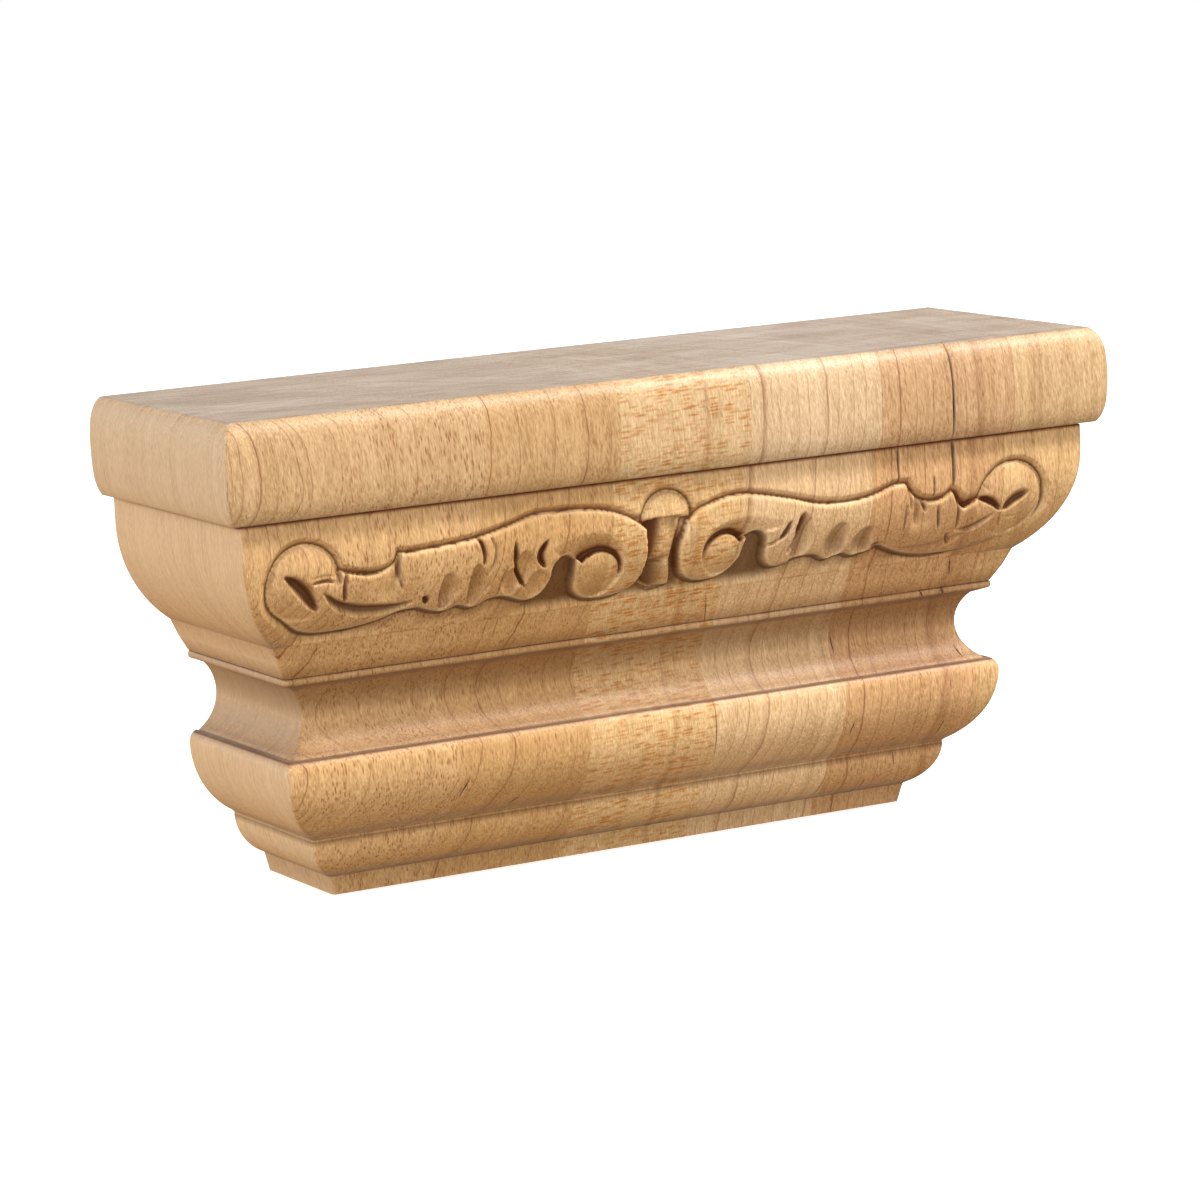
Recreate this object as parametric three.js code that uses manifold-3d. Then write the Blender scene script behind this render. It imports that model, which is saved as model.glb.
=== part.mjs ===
// A carved capital block: beech staves glued into one block, moulded on the front and on both ends, left flat
// at the back, with a pair of mirrored scrolls carved into the big ovolo of the front.
// Millimetres, +Z up. The origin is in the middle of the block's width and depth, level with the underside,
// and the front faces -Y.

import * as THREE from 'three';
import { mergeVertices } from 'three/addons/utils/BufferGeometryUtils.js';
import Module from 'manifold-3d';

const wasm = await Module();
wasm.setup();

// Overall size, over the fullest part of the slab
const WIDTH = 254;
const DEPTH = 79.4;

// The members of the moulding from the underside up. A set-in is how far a member lies behind the slab's face.
const FOOT_HEIGHT = 5;
const FOOT_LEAN = 1.2;
const FOOT_SET_IN = 42.5;
const QUARTER_HEIGHT = 11.1;
const QUARTER_SET_IN = 33.3;
const QUARTER_RADIUS = 12.9;
const TORUS_HEIGHT = 23.4;
const TORUS_SET_IN = 22.1;
const TORUS_BULGE = 21;
const TORUS_ARRIS = 2.9;
const SCOTIA_HEIGHT = 17.4;
const SCOTIA_SET_IN = 30.3;
const SCOTIA_RADIUS = 11.1;
const FILLET_HEIGHT = 1.1;
const FILLET_SET_IN = 24.2;
const BEAD_RADIUS = 1;
const BEAD_SET_IN = 22.9;
const BEVEL_HEIGHT = 8.7;
const BEVEL_SET_IN = 23;
const OVOLO_HEIGHT = 32.7;
const OVOLO_LAND = 6.4;
const OVOLO_SET_IN = 5.45;
const OVOLO_RADIUS = 32.6;
const QUIRK_HEIGHT = 0.8;
const QUIRK_DEPTH = 0.9;
const SLAB_HEIGHT = 24.8;
const SLAB_SWELL = 1.1;
const SLAB_LOWER_ARRIS = 1.3;
const SLAB_UPPER_ARRIS = 2.4;

// The carving: how far it stays from the ends of the ovolo, how far its middle lies off the block's middle,
// and how deep its ground, channels, scoops and gouge cuts are sunk
const CARVING_LEFT_MARGIN = 5.8;
const CARVING_RIGHT_MARGIN = 11;
const CARVING_OFFSET = -4.5;
const GROUND_DEPTH = 3.2;
const GROUND_FADE = 5.5;
const CREST_GROUND_DEPTH = 1.5;
const CREST_GROUND_FADE = 2.6;
const CHANNEL_DEPTH = 2.8;
const SCOOP_DEPTH = 1.7;
const GOUGE_DEPTH = 1.9;
const WALL_SLOPE = 2;
const FOOT_SLOPE = 1.1;
const FOOT_MARGIN = 0.3;

// How finely curves and the carving are faceted, and how far the cutter stands off wood that stays uncut
const CURVE_STEPS = 8;
const CARVING_CELL = 1.6;
const STAND_OFF = 3;
const CUTTER_FRONT = 8;

// Levels, worked out from the members
const quarterFoot = FOOT_HEIGHT;
const torusFoot = quarterFoot + QUARTER_HEIGHT;
const scotiaFoot = torusFoot + TORUS_HEIGHT;
const filletFoot = scotiaFoot + SCOTIA_HEIGHT;
const beadFoot = filletFoot + FILLET_HEIGHT;
const bevelFoot = beadFoot + 2 * BEAD_RADIUS;
const ovoloFoot = bevelFoot + BEVEL_HEIGHT;
const ovoloTop = ovoloFoot + OVOLO_HEIGHT;
const slabFoot = ovoloTop + QUIRK_HEIGHT;
const HEIGHT = slabFoot + SLAB_HEIGHT;

const frontY = -DEPTH / 2;
const ovoloCentre = ovoloTop - OVOLO_LAND;

// An arc of an ellipse, as [set-in, height] points from one height to another. The bulge side is -1 for a
// member that swells outwards and 1 for a hollow one.
function arc(setIn, centreHeight, depth, rise, from, to, side) {
  const points = [];
  for (let i = 0; i <= CURVE_STEPS; i++) {
    const z = from + ((to - from) * i) / CURVE_STEPS;
    const level = Math.min(1, Math.abs(z - centreHeight) / rise);
    const fullness = depth * Math.sqrt(1 - level * level);
    points.push(side < 0 ? [setIn + depth - fullness, z] : [setIn - depth + fullness, z]);
  }
  return points;
}

// The slab's face: a slight swell with softened arrises
function slabFace() {
  const points = [];
  for (let i = 0; i <= 2 * CURVE_STEPS; i++) {
    const t = Math.sin((Math.PI / 2) * (i / CURVE_STEPS - 1));
    const arris = t < 0 ? SLAB_LOWER_ARRIS : SLAB_UPPER_ARRIS;
    points.push([SLAB_SWELL * t * t + arris * t ** 6, slabFoot + (SLAB_HEIGHT * (1 + t)) / 2]);
  }
  return points;
}

// How far the ovolo lies behind the slab's face at a height
function ovoloSetIn(z) {
  const drop = Math.min(Math.max(ovoloCentre - z, 0), OVOLO_RADIUS);
  return OVOLO_SET_IN + OVOLO_RADIUS - Math.sqrt(OVOLO_RADIUS ** 2 - drop ** 2);
}

// The moulding's section, as [set-in, height] points from the underside to the top
function section() {
  const arrisFoot = scotiaFoot - TORUS_ARRIS;
  const bead = [];
  for (let i = 0; i <= 6; i++) {
    const turn = (Math.PI * i) / 6;
    bead.push([BEAD_SET_IN + BEAD_RADIUS * (1 - Math.sin(turn)), beadFoot + BEAD_RADIUS * (1 - Math.cos(turn))]);
  }
  const ovolo = [];
  for (let i = 0; i <= 2 * CURVE_STEPS; i++) {
    const z = ovoloFoot + ((ovoloCentre - ovoloFoot) * i) / (2 * CURVE_STEPS);
    ovolo.push([ovoloSetIn(z), z]);
  }
  const bevelTop = ovoloSetIn(ovoloFoot);
  return [
    [FOOT_SET_IN, 0],
    ...arc(QUARTER_SET_IN, torusFoot + 0.9, QUARTER_RADIUS, QUARTER_RADIUS, quarterFoot, torusFoot, -1)
      .map(([setIn, z]) => [Math.min(setIn, FOOT_SET_IN - FOOT_LEAN), z]),
    ...arc(TORUS_SET_IN, arrisFoot, TORUS_BULGE, TORUS_HEIGHT - 1.3, torusFoot + 0.1, arrisFoot, -1),
    ...arc(TORUS_SET_IN, arrisFoot, TORUS_ARRIS, TORUS_ARRIS + 0.1, arrisFoot + 0.3, scotiaFoot, -1),
    ...arc(SCOTIA_SET_IN, scotiaFoot + 9.5, SCOTIA_RADIUS, SCOTIA_RADIUS, scotiaFoot + 0.1, filletFoot, 1),
    [FILLET_SET_IN, beadFoot - 0.05],
    ...bead,
    [BEVEL_SET_IN, bevelFoot + 0.15],
    [(BEVEL_SET_IN + bevelTop) / 2 - 0.15, (bevelFoot + ovoloFoot) / 2],
    ...ovolo,
    [OVOLO_SET_IN, ovoloTop],
    [OVOLO_SET_IN + QUIRK_DEPTH, ovoloTop],
    [OVOLO_SET_IN + QUIRK_DEPTH, slabFoot],
    ...slabFace(),
  ];
}

// Turns a closed three.js geometry into a solid that can be joined and cut
function solid(geometry) {
  const bare = geometry.index ? geometry.toNonIndexed() : geometry.clone();
  bare.deleteAttribute('normal');
  bare.deleteAttribute('uv');
  const merged = mergeVertices(bare, 1e-5);
  return new wasm.Manifold(new wasm.Mesh({
    numProp: 3,
    vertProperties: new Float32Array(merged.attributes.position.array),
    triVerts: new Uint32Array(merged.index.array),
  }));
}

// The moulded block: the front's silhouette run through the depth, crossed with the ends' section run through
// the width, which mitres the moulding at both front corners
function mouldedBlock() {
  const profile = section();
  const front = new THREE.Shape([
    ...profile.map(([setIn, z]) => new THREE.Vector2(WIDTH / 2 - setIn, z)),
    ...profile.map(([setIn, z]) => new THREE.Vector2(setIn - WIDTH / 2, z)).reverse(),
  ]);
  const side = new THREE.Shape([
    new THREE.Vector2(DEPTH / 2, 0),
    new THREE.Vector2(DEPTH / 2, HEIGHT),
    ...profile.map(([setIn, z]) => new THREE.Vector2(frontY + setIn, z)).reverse(),
  ]);
  const through = 10;
  const frontRun = new THREE.ExtrudeGeometry(front, { depth: DEPTH + through, bevelEnabled: false });
  frontRun.rotateX(Math.PI / 2).translate(0, (DEPTH + through) / 2, 0);
  const sideRun = new THREE.ExtrudeGeometry(side, { depth: WIDTH + through, bevelEnabled: false });
  const turned = new THREE.Matrix4().makeBasis(
    new THREE.Vector3(0, 1, 0), new THREE.Vector3(0, 0, 1), new THREE.Vector3(1, 0, 0));
  sideRun.applyMatrix4(turned).translate(-(WIDTH + through) / 2, 0, 0);
  return solid(frontRun).intersect(solid(sideRun));
}

// The carving is drawn on a sheet with x outwards from its middle and y upwards from the ovolo's foot, and is
// fitted to the ovolo's length and height. Each side has its own crest, as the two were cut by hand.
const SHEET_HEIGHT = 32.7;
const SHEET_TOP = 30.5;
const LOBES = [[67, 6.9], [63.5, 5.6], [59.5, 4.8], [55.8, 6], [51.5, 4.8], [47.5, 6.6], [43, 6.7], [36.5, 4.7],
  [33, 6.2], [31.4, 9.5], [31.2, 12.8], [29.5, 14.8], [27, 15.3], [24.6, 14.2]];
const HANDS = {
  left: {
    reach: 111.3,
    crest: [[4.8, 19.8], [7, 21.5], [10.5, 23.6], [15.5, 25.6], [22.5, 26.9], [30.5, 27.3], [37.5, 27.2],
      [44.5, 25.3], [53.5, 23.3], [62.5, 22.4], [71.5, 21.9], [74.9, 22.2]],
    dip: [[74.9, 22.2], [75.8, 19.8], [78.5, 18.1], [82.5, 17.5], [87.5, 18.5], [90.5, 19.6]],
    disc: { x: 100.6, y: 16.4, radius: 10.7, from: 162, to: -95 },
    keel: [[99.7, 5.7], [95.5, 4.2], [90.5, 3.4], [83.5, 3.7], [77.5, 4.8], [72.5, 6.5], [67, 6.9]],
    boss: { x: 17.5, y: 8.9, radius: 6.3 },
    turn: [[24.6, 14.2], [24, 11.3], [23.8, 8.3], [22.3, 5.2], [19.5, 3.2], [15, 2.5], [10, 2.9], [6.5, 4.6],
      [4.7, 7.5], [4, 11.3], [4.1, 15.3], [4.8, 19.8]],
    channel: [[32.5, 17.8], [27.5, 20], [22.5, 20.9], [18, 20.5], [14.3, 18.6], [11.7, 15.8], [10.5, 12.3],
      [10.7, 9.3], [11.8, 7.1]],
    lens: [[105.5, 19.3], [101.3, 16.9], [98.1, 13.3], [95.7, 9.9]],
    sickle: [[94.5, 13.7], [90.5, 11.2], [85.5, 9.3], [80.5, 8.5], [74.5, 8.2], [70, 8.7]],
  },
  right: {
    reach: 115.1,
    crest: [[6.2, 20.6], [9.5, 23.3], [13.5, 24.6], [17.5, 25.6], [22, 25.9], [26.5, 25.3], [31.5, 24.3],
      [37.5, 22.9], [44.5, 21], [50.5, 20.3], [56.5, 20.4], [62.5, 21.4], [67.5, 23], [71.5, 23.1]],
    dip: [[71.5, 23.1], [73.5, 20.3], [76.5, 18.3], [80.5, 17.5], [83.5, 18.1], [85.8, 19.6], [88.1, 16.9],
      [90.1, 14.4], [92.5, 15.2], [94.7, 16.6]],
    disc: { x: 104.8, y: 15.2, radius: 10.3, from: 172, to: -72 },
    keel: [[108, 5.4], [101.5, 3.6], [94.5, 2.5], [87.5, 2], [80.5, 2.5], [74.5, 3.8], [69.5, 5.7], [67, 6.9]],
    boss: { x: 18.2, y: 9.6, radius: 5.7 },
    turn: [[24.6, 14.2], [23.9, 11.5], [23.6, 8.6], [21.5, 5.6], [18, 3.8], [13.5, 3.7], [9.5, 5.1], [7.1, 7.7],
      [5.8, 11.3], [5.3, 15.3], [6.2, 20.6]],
    channel: [[36.5, 16.3], [34.5, 17.7], [30.5, 18.9], [25.5, 19.6], [20.5, 19.7], [16, 18.5], [12.9, 16.3],
      [11.6, 13.3], [12, 10.3], [13.6, 7.5]],
    lens: [[109.7, 16.5], [106, 13.9], [102.8, 11.7]],
    sickle: [[99, 11.3], [95.5, 9.5], [92, 8.6], [89, 8.8]],
  },
};
const SCOOPS = [
  { x: 59.5, y: 10.2, width: 3.1, rise: 4.8 },
  { x: 51.4, y: 10.4, width: 3.2, rise: 5.2 },
  { x: 43.2, y: 10.3, width: 2.7, rise: 3.9 },
  { x: 38.7, y: 12.5, width: 3, rise: 5.8 },
];
const POCKET_FLOOR = [[24.6, 14.2], [29.5, 14.8]];
const BUD = {
  cap: { width: 6.2, foot: 22.2, rise: 6.5 },
  stem: [[3.9, 21], [3.2, 15], [1.8, 10.6], [3.2, 7.2], [4.6, 4.6]],
};

// A smooth curve through points, as a plain list of [x, y] points
function curve(points, steps = 3) {
  const spline = new THREE.SplineCurve(points.map(([x, y]) => new THREE.Vector2(x, y)));
  return spline.getPoints(steps * (points.length - 1)).map((point) => [point.x, point.y]);
}

// The closed outline of one scroll with its leaf and end disc
function scrollOutline(hand) {
  const { x, y, radius, from, to } = hand.disc;
  const disc = new THREE.EllipseCurve(x, y, radius, radius, THREE.MathUtils.degToRad(from),
    THREE.MathUtils.degToRad(to), true).getPoints(20).map((point) => [point.x, point.y]);
  return [...curve(hand.crest), ...curve(hand.dip), ...disc, ...curve(hand.keel), ...curve(LOBES, 2),
    ...curve(hand.turn)];
}

// The closed outline of the bud between the scrolls
function budOutline() {
  const { width, foot, rise } = BUD.cap;
  const cap = new THREE.EllipseCurve(0, foot, width, rise, 0, Math.PI).getPoints(12)
    .map((point) => [point.x, point.y]);
  const flank = curve(BUD.stem);
  return [...cap, ...flank.map(([x, y]) => [-x, y]), [0, 3.6], ...flank.reverse()];
}

// The nearest place on a line of points: the distance, the share of the way along it and the place itself
function nearest(points, x, y) {
  let best = { distance: Infinity, share: 0, place: [x, y] };
  for (let i = 1; i < points.length; i++) {
    const [ax, ay] = points[i - 1];
    const [bx, by] = points[i];
    const along = [bx - ax, by - ay];
    const length = along[0] ** 2 + along[1] ** 2;
    const t = length ? THREE.MathUtils.clamp(((x - ax) * along[0] + (y - ay) * along[1]) / length, 0, 1) : 0;
    const place = [ax + t * along[0], ay + t * along[1]];
    const distance = Math.hypot(x - place[0], y - place[1]);
    if (distance < best.distance) best = { distance, share: (i - 1 + t) / (points.length - 1), place };
  }
  return best;
}

// Whether a place is inside a closed outline
function inside(points, x, y) {
  let odd = false;
  for (let i = 0, j = points.length - 1; i < points.length; j = i++) {
    const [ax, ay] = points[i];
    const [bx, by] = points[j];
    if (ay > y !== by > y && x < ((bx - ax) * (y - ay)) / (by - ay) + ax) odd = !odd;
  }
  return odd;
}

const smooth = THREE.MathUtils.smoothstep;

// How far a place lies inside a closed outline, negative outside it
function depthInside(points, x, y) {
  const { distance } = nearest(points, x, y);
  return inside(points, x, y) ? distance : -distance;
}

// A rounded groove along a line of points, deepest in its middle and tapering to both ends. Beyond its edge
// the value falls below zero, as it does for every cut here, so that an edge runs true between two cells.
function gouge(points, width, depth, x, y) {
  const { distance, share } = nearest(points, x, y);
  const reach = (width / 2) * Math.sqrt(Math.sin(Math.PI * THREE.MathUtils.clamp(share, 0.04, 0.96)));
  return depth * (1 - (distance / reach) ** 2);
}

// The channel that winds round the boss of a scroll: steep at the boss and rising gently to its rim
function channelCut(hand, x, y) {
  const { boss, channelLine, pocket } = hand;
  const fromBoss = Math.hypot(x - boss.x, y - boss.y) - boss.radius;
  const within = Math.min(fromBoss, depthInside(pocket, x, y));
  if (within < 0) return within;
  const rim = nearest(channelLine, x, y).distance;
  return Math.min(WALL_SLOPE * fromBoss, CHANNEL_DEPTH * (rim / (rim + fromBoss)) ** 0.8);
}

// The scoops of the leaf, side by side along its lower edge
function scoopCut(x, y) {
  const levels = SCOOPS.map((scoop) => ((x - scoop.x) / scoop.width) ** 2 + ((y - scoop.y) / scoop.rise) ** 2);
  return SCOOP_DEPTH * (1 - Math.min(...levels));
}

// How deep the ovolo is cut at a place of the drawing sheet: the ground round the bud and the scroll, and the
// cuts in the scroll itself. Below zero the wood stays.
function reliefDepth(hand, x, y) {
  const edge = Math.max(depthInside(hand.outline, x, y), depthInside(hand.budLine, x, y));
  const crest = smooth(y, 15, 20);
  const depth = THREE.MathUtils.lerp(GROUND_DEPTH, CREST_GROUND_DEPTH, crest);
  const fade = THREE.MathUtils.lerp(GROUND_FADE, CREST_GROUND_FADE, crest);
  const slope = depth * (1 + edge / fade);
  const ground = Math.min(-WALL_SLOPE * edge, slope, FOOT_SLOPE * (y - FOOT_MARGIN));
  return Math.max(ground, channelCut(hand, x, y), scoopCut(x, y),
    gouge(hand.lensLine, 3.8, GOUGE_DEPTH, x, y), gouge(hand.sickleLine, 3.2, GOUGE_DEPTH, x, y));
}

// A line of points closed on itself
function closed(points) {
  return [...points, points[0]];
}

// The relief's cutter: a slab of cells whose inner face follows the ovolo, sunk by the carving's depth
function carvingCutter() {
  const halfTop = WIDTH / 2 - OVOLO_SET_IN;
  const reaches = { left: halfTop - CARVING_LEFT_MARGIN + CARVING_OFFSET,
    right: halfTop - CARVING_RIGHT_MARGIN - CARVING_OFFSET };
  for (const [name, hand] of Object.entries(HANDS)) {
    hand.outline = closed(scrollOutline(hand));
    hand.budLine = closed(budOutline());
    hand.channelLine = curve(hand.channel);
    hand.pocket = closed([...hand.channelLine, [hand.boss.x, hand.boss.y], ...POCKET_FLOOR]);
    hand.lensLine = curve(hand.lens);
    hand.sickleLine = curve(hand.sickle);
    hand.stretch = reaches[name] / hand.reach;
  }
  const rise = OVOLO_HEIGHT / SHEET_HEIGHT;
  const left = CARVING_OFFSET - reaches.left - GROUND_FADE;
  const right = CARVING_OFFSET + reaches.right + GROUND_FADE;
  const tall = SHEET_TOP * rise;
  const columns = Math.round((right - left) / CARVING_CELL);
  const rows = Math.round(tall / CARVING_CELL);
  const cutter = new THREE.BoxGeometry(right - left, CUTTER_FRONT, tall, columns, 1, rows);
  cutter.translate((left + right) / 2, 0, ovoloFoot + tall / 2);
  const position = cutter.attributes.position;
  for (let i = 0; i < position.count; i++) {
    const [x, z] = [position.getX(i), position.getZ(i)];
    if (position.getY(i) < 0) {
      position.setY(i, frontY - CUTTER_FRONT);
      continue;
    }
    const hand = x < CARVING_OFFSET ? HANDS.left : HANDS.right;
    const depth = reliefDepth(hand, Math.abs(x - CARVING_OFFSET) / hand.stretch, (z - ovoloFoot) / rise);
    position.setY(i, frontY + ovoloSetIn(z) + Math.max(depth, -STAND_OFF));
  }
  return solid(cutter);
}

// The carved block as a three.js geometry with flat faces
function carvedGeometry() {
  const mesh = mouldedBlock().subtract(carvingCutter()).getMesh();
  const geometry = new THREE.BufferGeometry();
  geometry.setAttribute('position', new THREE.BufferAttribute(mesh.vertProperties, 3));
  geometry.setIndex(new THREE.BufferAttribute(mesh.triVerts, 1));
  geometry.computeVertexNormals();
  return geometry;
}

const beech = new THREE.MeshStandardMaterial({ color: 0xc9a173, roughness: 0.55, metalness: 0 });
const capital = new THREE.Mesh(carvedGeometry(), beech);
capital.name = 'capital_block';

const part = new THREE.Group();
part.add(capital);
export default part;
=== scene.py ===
"""The looks of a carved capital block: beech staves glued into one block, moulded round the front and both
ends, with a pair of scrolls cut by hand into the big ovolo of the front.

Sizes are in millimetres, as a maker writes them, and are turned to metres where a mesh is made. +Z is up, the
front faces -Y, and the origin is in the middle of the block's width and depth, level with its underside.
"""

import logging
import math
from dataclasses import dataclass, field
from enum import Enum

import bmesh
import bpy
import numpy as np
from mathutils import Matrix, Vector
from mathutils.bvhtree import BVHTree


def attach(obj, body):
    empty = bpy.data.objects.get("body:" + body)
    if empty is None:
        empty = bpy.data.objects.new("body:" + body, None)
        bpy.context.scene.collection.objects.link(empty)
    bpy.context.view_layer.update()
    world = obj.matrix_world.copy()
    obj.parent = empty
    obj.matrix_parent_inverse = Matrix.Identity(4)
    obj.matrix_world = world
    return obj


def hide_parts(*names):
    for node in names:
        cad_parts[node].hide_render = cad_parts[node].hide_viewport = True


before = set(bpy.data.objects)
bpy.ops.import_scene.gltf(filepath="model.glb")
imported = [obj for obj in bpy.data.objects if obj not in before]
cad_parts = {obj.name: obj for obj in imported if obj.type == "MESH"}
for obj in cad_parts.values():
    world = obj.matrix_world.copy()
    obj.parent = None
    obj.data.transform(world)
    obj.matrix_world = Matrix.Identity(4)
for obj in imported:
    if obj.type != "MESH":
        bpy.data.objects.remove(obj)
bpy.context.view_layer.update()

log = logging.getLogger("capital")
MM = 0.001
NODE = "capital_block"
Points = tuple[tuple[float, float], ...]
Socket = bpy.types.NodeSocket
Feed = Socket | float | tuple[float, ...]


def smoothstep(value: np.ndarray, low: float, high: float) -> np.ndarray:
    """Rises smoothly from 0 to 1 as a value goes from low to high.

    Args:
        value: The values.
        low: Where the rise starts.
        high: Where it ends; less than low for a fall.

    Returns:
        The smoothed values, each from 0 to 1.
    """
    share = np.clip((value - low) / (high - low), 0, 1)
    return share * share * (3 - 2 * share)


def ripple(u: np.ndarray, v: np.ndarray, length: float, seed: int) -> np.ndarray:
    """An uneven surface such as a hand tool leaves, made of a few crossed waves.

    Args:
        u: Places across.
        v: Places up.
        length: The length of the longest wave in millimetres.
        seed: Picks the waves' directions.

    Returns:
        Heights from about -1 to 1.
    """
    draw = np.random.default_rng(seed)
    total = np.zeros_like(u)
    for step in range(7):
        turn, phase = draw.uniform(0, 2 * math.pi, 2)
        pace = 2 * math.pi / (length / (1 + 0.35 * step))
        total += np.sin(pace * (u * math.cos(turn) + v * math.sin(turn)) + phase)
    return total / 3.5


@dataclass(frozen=True)
class Line:
    """A smooth line through drawn points, on the drawing sheet in millimetres."""

    points: Points
    steps: int = 6

    def samples(self) -> np.ndarray:
        """The line's places, a few to each drawn span.

        Returns:
            An array of places, one row each.
        """
        drawn = np.array(self.points, float)
        padded = np.vstack([drawn[:1], drawn, drawn[-1:]])
        shares = np.arange(self.steps) / self.steps
        rows = []
        for a, b, c, d in zip(padded, padded[1:], padded[2:], padded[3:]):
            for t in shares:
                pull = (c - a) * t + (2 * a - 5 * b + 4 * c - d) * t**2 + (3 * b - a - 3 * c + d) * t**3
                rows.append(b + pull / 2)
        rows.append(drawn[-1])
        return np.array(rows)


def measure(line: np.ndarray, u: np.ndarray, v: np.ndarray) -> tuple[np.ndarray, np.ndarray, np.ndarray]:
    """How places lie to a line.

    Args:
        line: The line's places in order.
        u: The places' distances across the sheet.
        v: Their heights on it.

    Returns:
        The distance to the line, the share of the way along it, and the signed side, positive on the left of
        the line's direction.
    """
    nearest = np.full(u.shape, 1e9)
    share = np.zeros(u.shape)
    side = np.ones(u.shape)
    spans = len(line) - 1
    for i in range(spans):
        (au, av), (bu, bv) = line[i], line[i + 1]
        du, dv = bu - au, bv - av
        t = np.clip(((u - au) * du + (v - av) * dv) / max(du * du + dv * dv, 1e-12), 0, 1)
        gap = np.hypot(u - au - t * du, v - av - t * dv)
        closer = gap < nearest
        nearest = np.where(closer, gap, nearest)
        share = np.where(closer, (i + t) / spans, share)
        side = np.where(closer, np.sign(du * (v - av) - dv * (u - au)), side)
    return nearest, share, side


def inside(outline: np.ndarray, u: np.ndarray, v: np.ndarray) -> np.ndarray:
    """How far places lie inside a closed outline.

    Args:
        outline: The outline's places, the last joined to the first.
        u: The places' distances across the sheet.
        v: Their heights on it.

    Returns:
        The distance to the outline, negative outside it.
    """
    closed = np.vstack([outline, outline[:1]])
    odd = np.zeros(u.shape, bool)
    for (au, av), (bu, bv) in zip(closed, closed[1:]):
        if av != bv:
            odd ^= ((av > v) != (bv > v)) & (u < (bu - au) * (v - av) / (bv - av) + au)
    distance = measure(closed, u, v)[0]
    return np.where(odd, distance, -distance)


def soft_least(a: np.ndarray, b: np.ndarray, blend: float) -> np.ndarray:
    """The lesser of two values, rounded over where they meet.

    Args:
        a: The first values.
        b: The second values.
        blend: How near they are where the rounding starts.

    Returns:
        The values.
    """
    share = np.clip(0.5 + 0.5 * (b - a) / blend, 0, 1)
    return b + (a - b) * share - blend * share * (1 - share)


class Tool(Enum):
    """What a cut was made with, which sets its section."""

    VEINER = "a round-bottomed groove"
    PARTING = "a V-shaped groove"
    SLICE = "one steep wall, on the left of the line, and one long slope"


@dataclass(frozen=True)
class Cut:
    """One stroke of a carving tool along a line. The fade says how slender its ends are, and the steep share
    is the part of a slice's width that its steep wall takes."""

    points: Points
    width: float
    depth: float
    tool: Tool = Tool.PARTING
    fade: float = 0.5
    steep: float = 0.3

    def sink(self, u: np.ndarray, v: np.ndarray) -> np.ndarray:
        """How deep the stroke cuts at each place.

        Args:
            u: Places across the sheet.
            v: Places up the sheet.

        Returns:
            The depths, zero away from the stroke.
        """
        line = Line(self.points).samples()
        low, high = line.min(0) - self.width * 2, line.max(0) + self.width * 2
        near = (u > low[0]) & (u < high[0]) & (v > low[1]) & (v < high[1])
        result = np.zeros(u.shape)
        if not near.any():
            return result
        gap, share, side = measure(line, u[near], v[near])
        taper = np.sin(math.pi * np.clip(share, 0.03, 0.97)) ** self.fade
        half = self.width / 2 * taper
        if self.tool is Tool.VEINER:
            level = 1 - (gap / half) ** 2
        elif self.tool is Tool.PARTING:
            level = 1 - gap / half
        else:
            reach = np.where(side > 0, 2 * half * self.steep, 2 * half * (1 - self.steep))
            level = 1 - gap / reach
        result[near] = self.depth * taper**0.5 * np.clip(level, 0, 1)
        return result


@dataclass(frozen=True)
class Scoop:
    """A spoon-shaped hollow pressed in by a gouge. A skew above zero makes its left wall the steeper one, as
    the front is seen, and one below zero its right wall."""

    u: float
    v: float
    width: float
    rise: float
    depth: float = 2.4
    skew: float = 0.5

    def sink(self, u: np.ndarray, v: np.ndarray, left: float) -> np.ndarray:
        """How deep the hollow is at each place.

        Args:
            u: Places across the sheet.
            v: Places up the sheet.
            left: 1 where the sheet's u runs leftwards as the front is seen, otherwise -1.

        Returns:
            The depths, negative where the wood stays.
        """
        across = left * (u - self.u) / self.width
        skewed = across - self.skew * (1 - np.clip(across, -1, 1) ** 2)
        level = 1 - skewed**2 - ((v - self.v) / self.rise) ** 2
        return np.where(level > 0, self.depth * np.maximum(level, 0) ** 0.55, -1)


@dataclass(frozen=True)
class Disc:
    """A round form, a little out of true: the scroll's boss or the disc that ends it."""

    u: float
    v: float
    half_width: float
    half_height: float

    def within(self, u: np.ndarray, v: np.ndarray) -> np.ndarray:
        """How far places lie inside the round form, negative outside it."""
        share = np.hypot((u - self.u) / self.half_width, (v - self.v) / self.half_height)
        return (1 - share) * (self.half_width + self.half_height) / 2

    def arc(self, start: float, end: float) -> np.ndarray:
        """Places round its edge.

        Args:
            start: The angle that it starts at, in degrees.
            end: The angle that it ends at.

        Returns:
            An array of places, one row each.
        """
        turns = np.radians(np.linspace(start, end, 48))
        return np.column_stack([self.u + self.half_width * np.cos(turns),
                                self.v + self.half_height * np.sin(turns)])


LOBES: Points = ((67, 6.9), (63.5, 5.6), (59.5, 4.8), (55.8, 6), (51.5, 4.8), (47.5, 6.6), (43, 6.7),
                 (36.5, 4.7), (33, 6.2), (31.4, 9.5), (31.2, 12.8), (29.5, 14.8), (27, 15.3), (24.6, 14.2))


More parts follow.
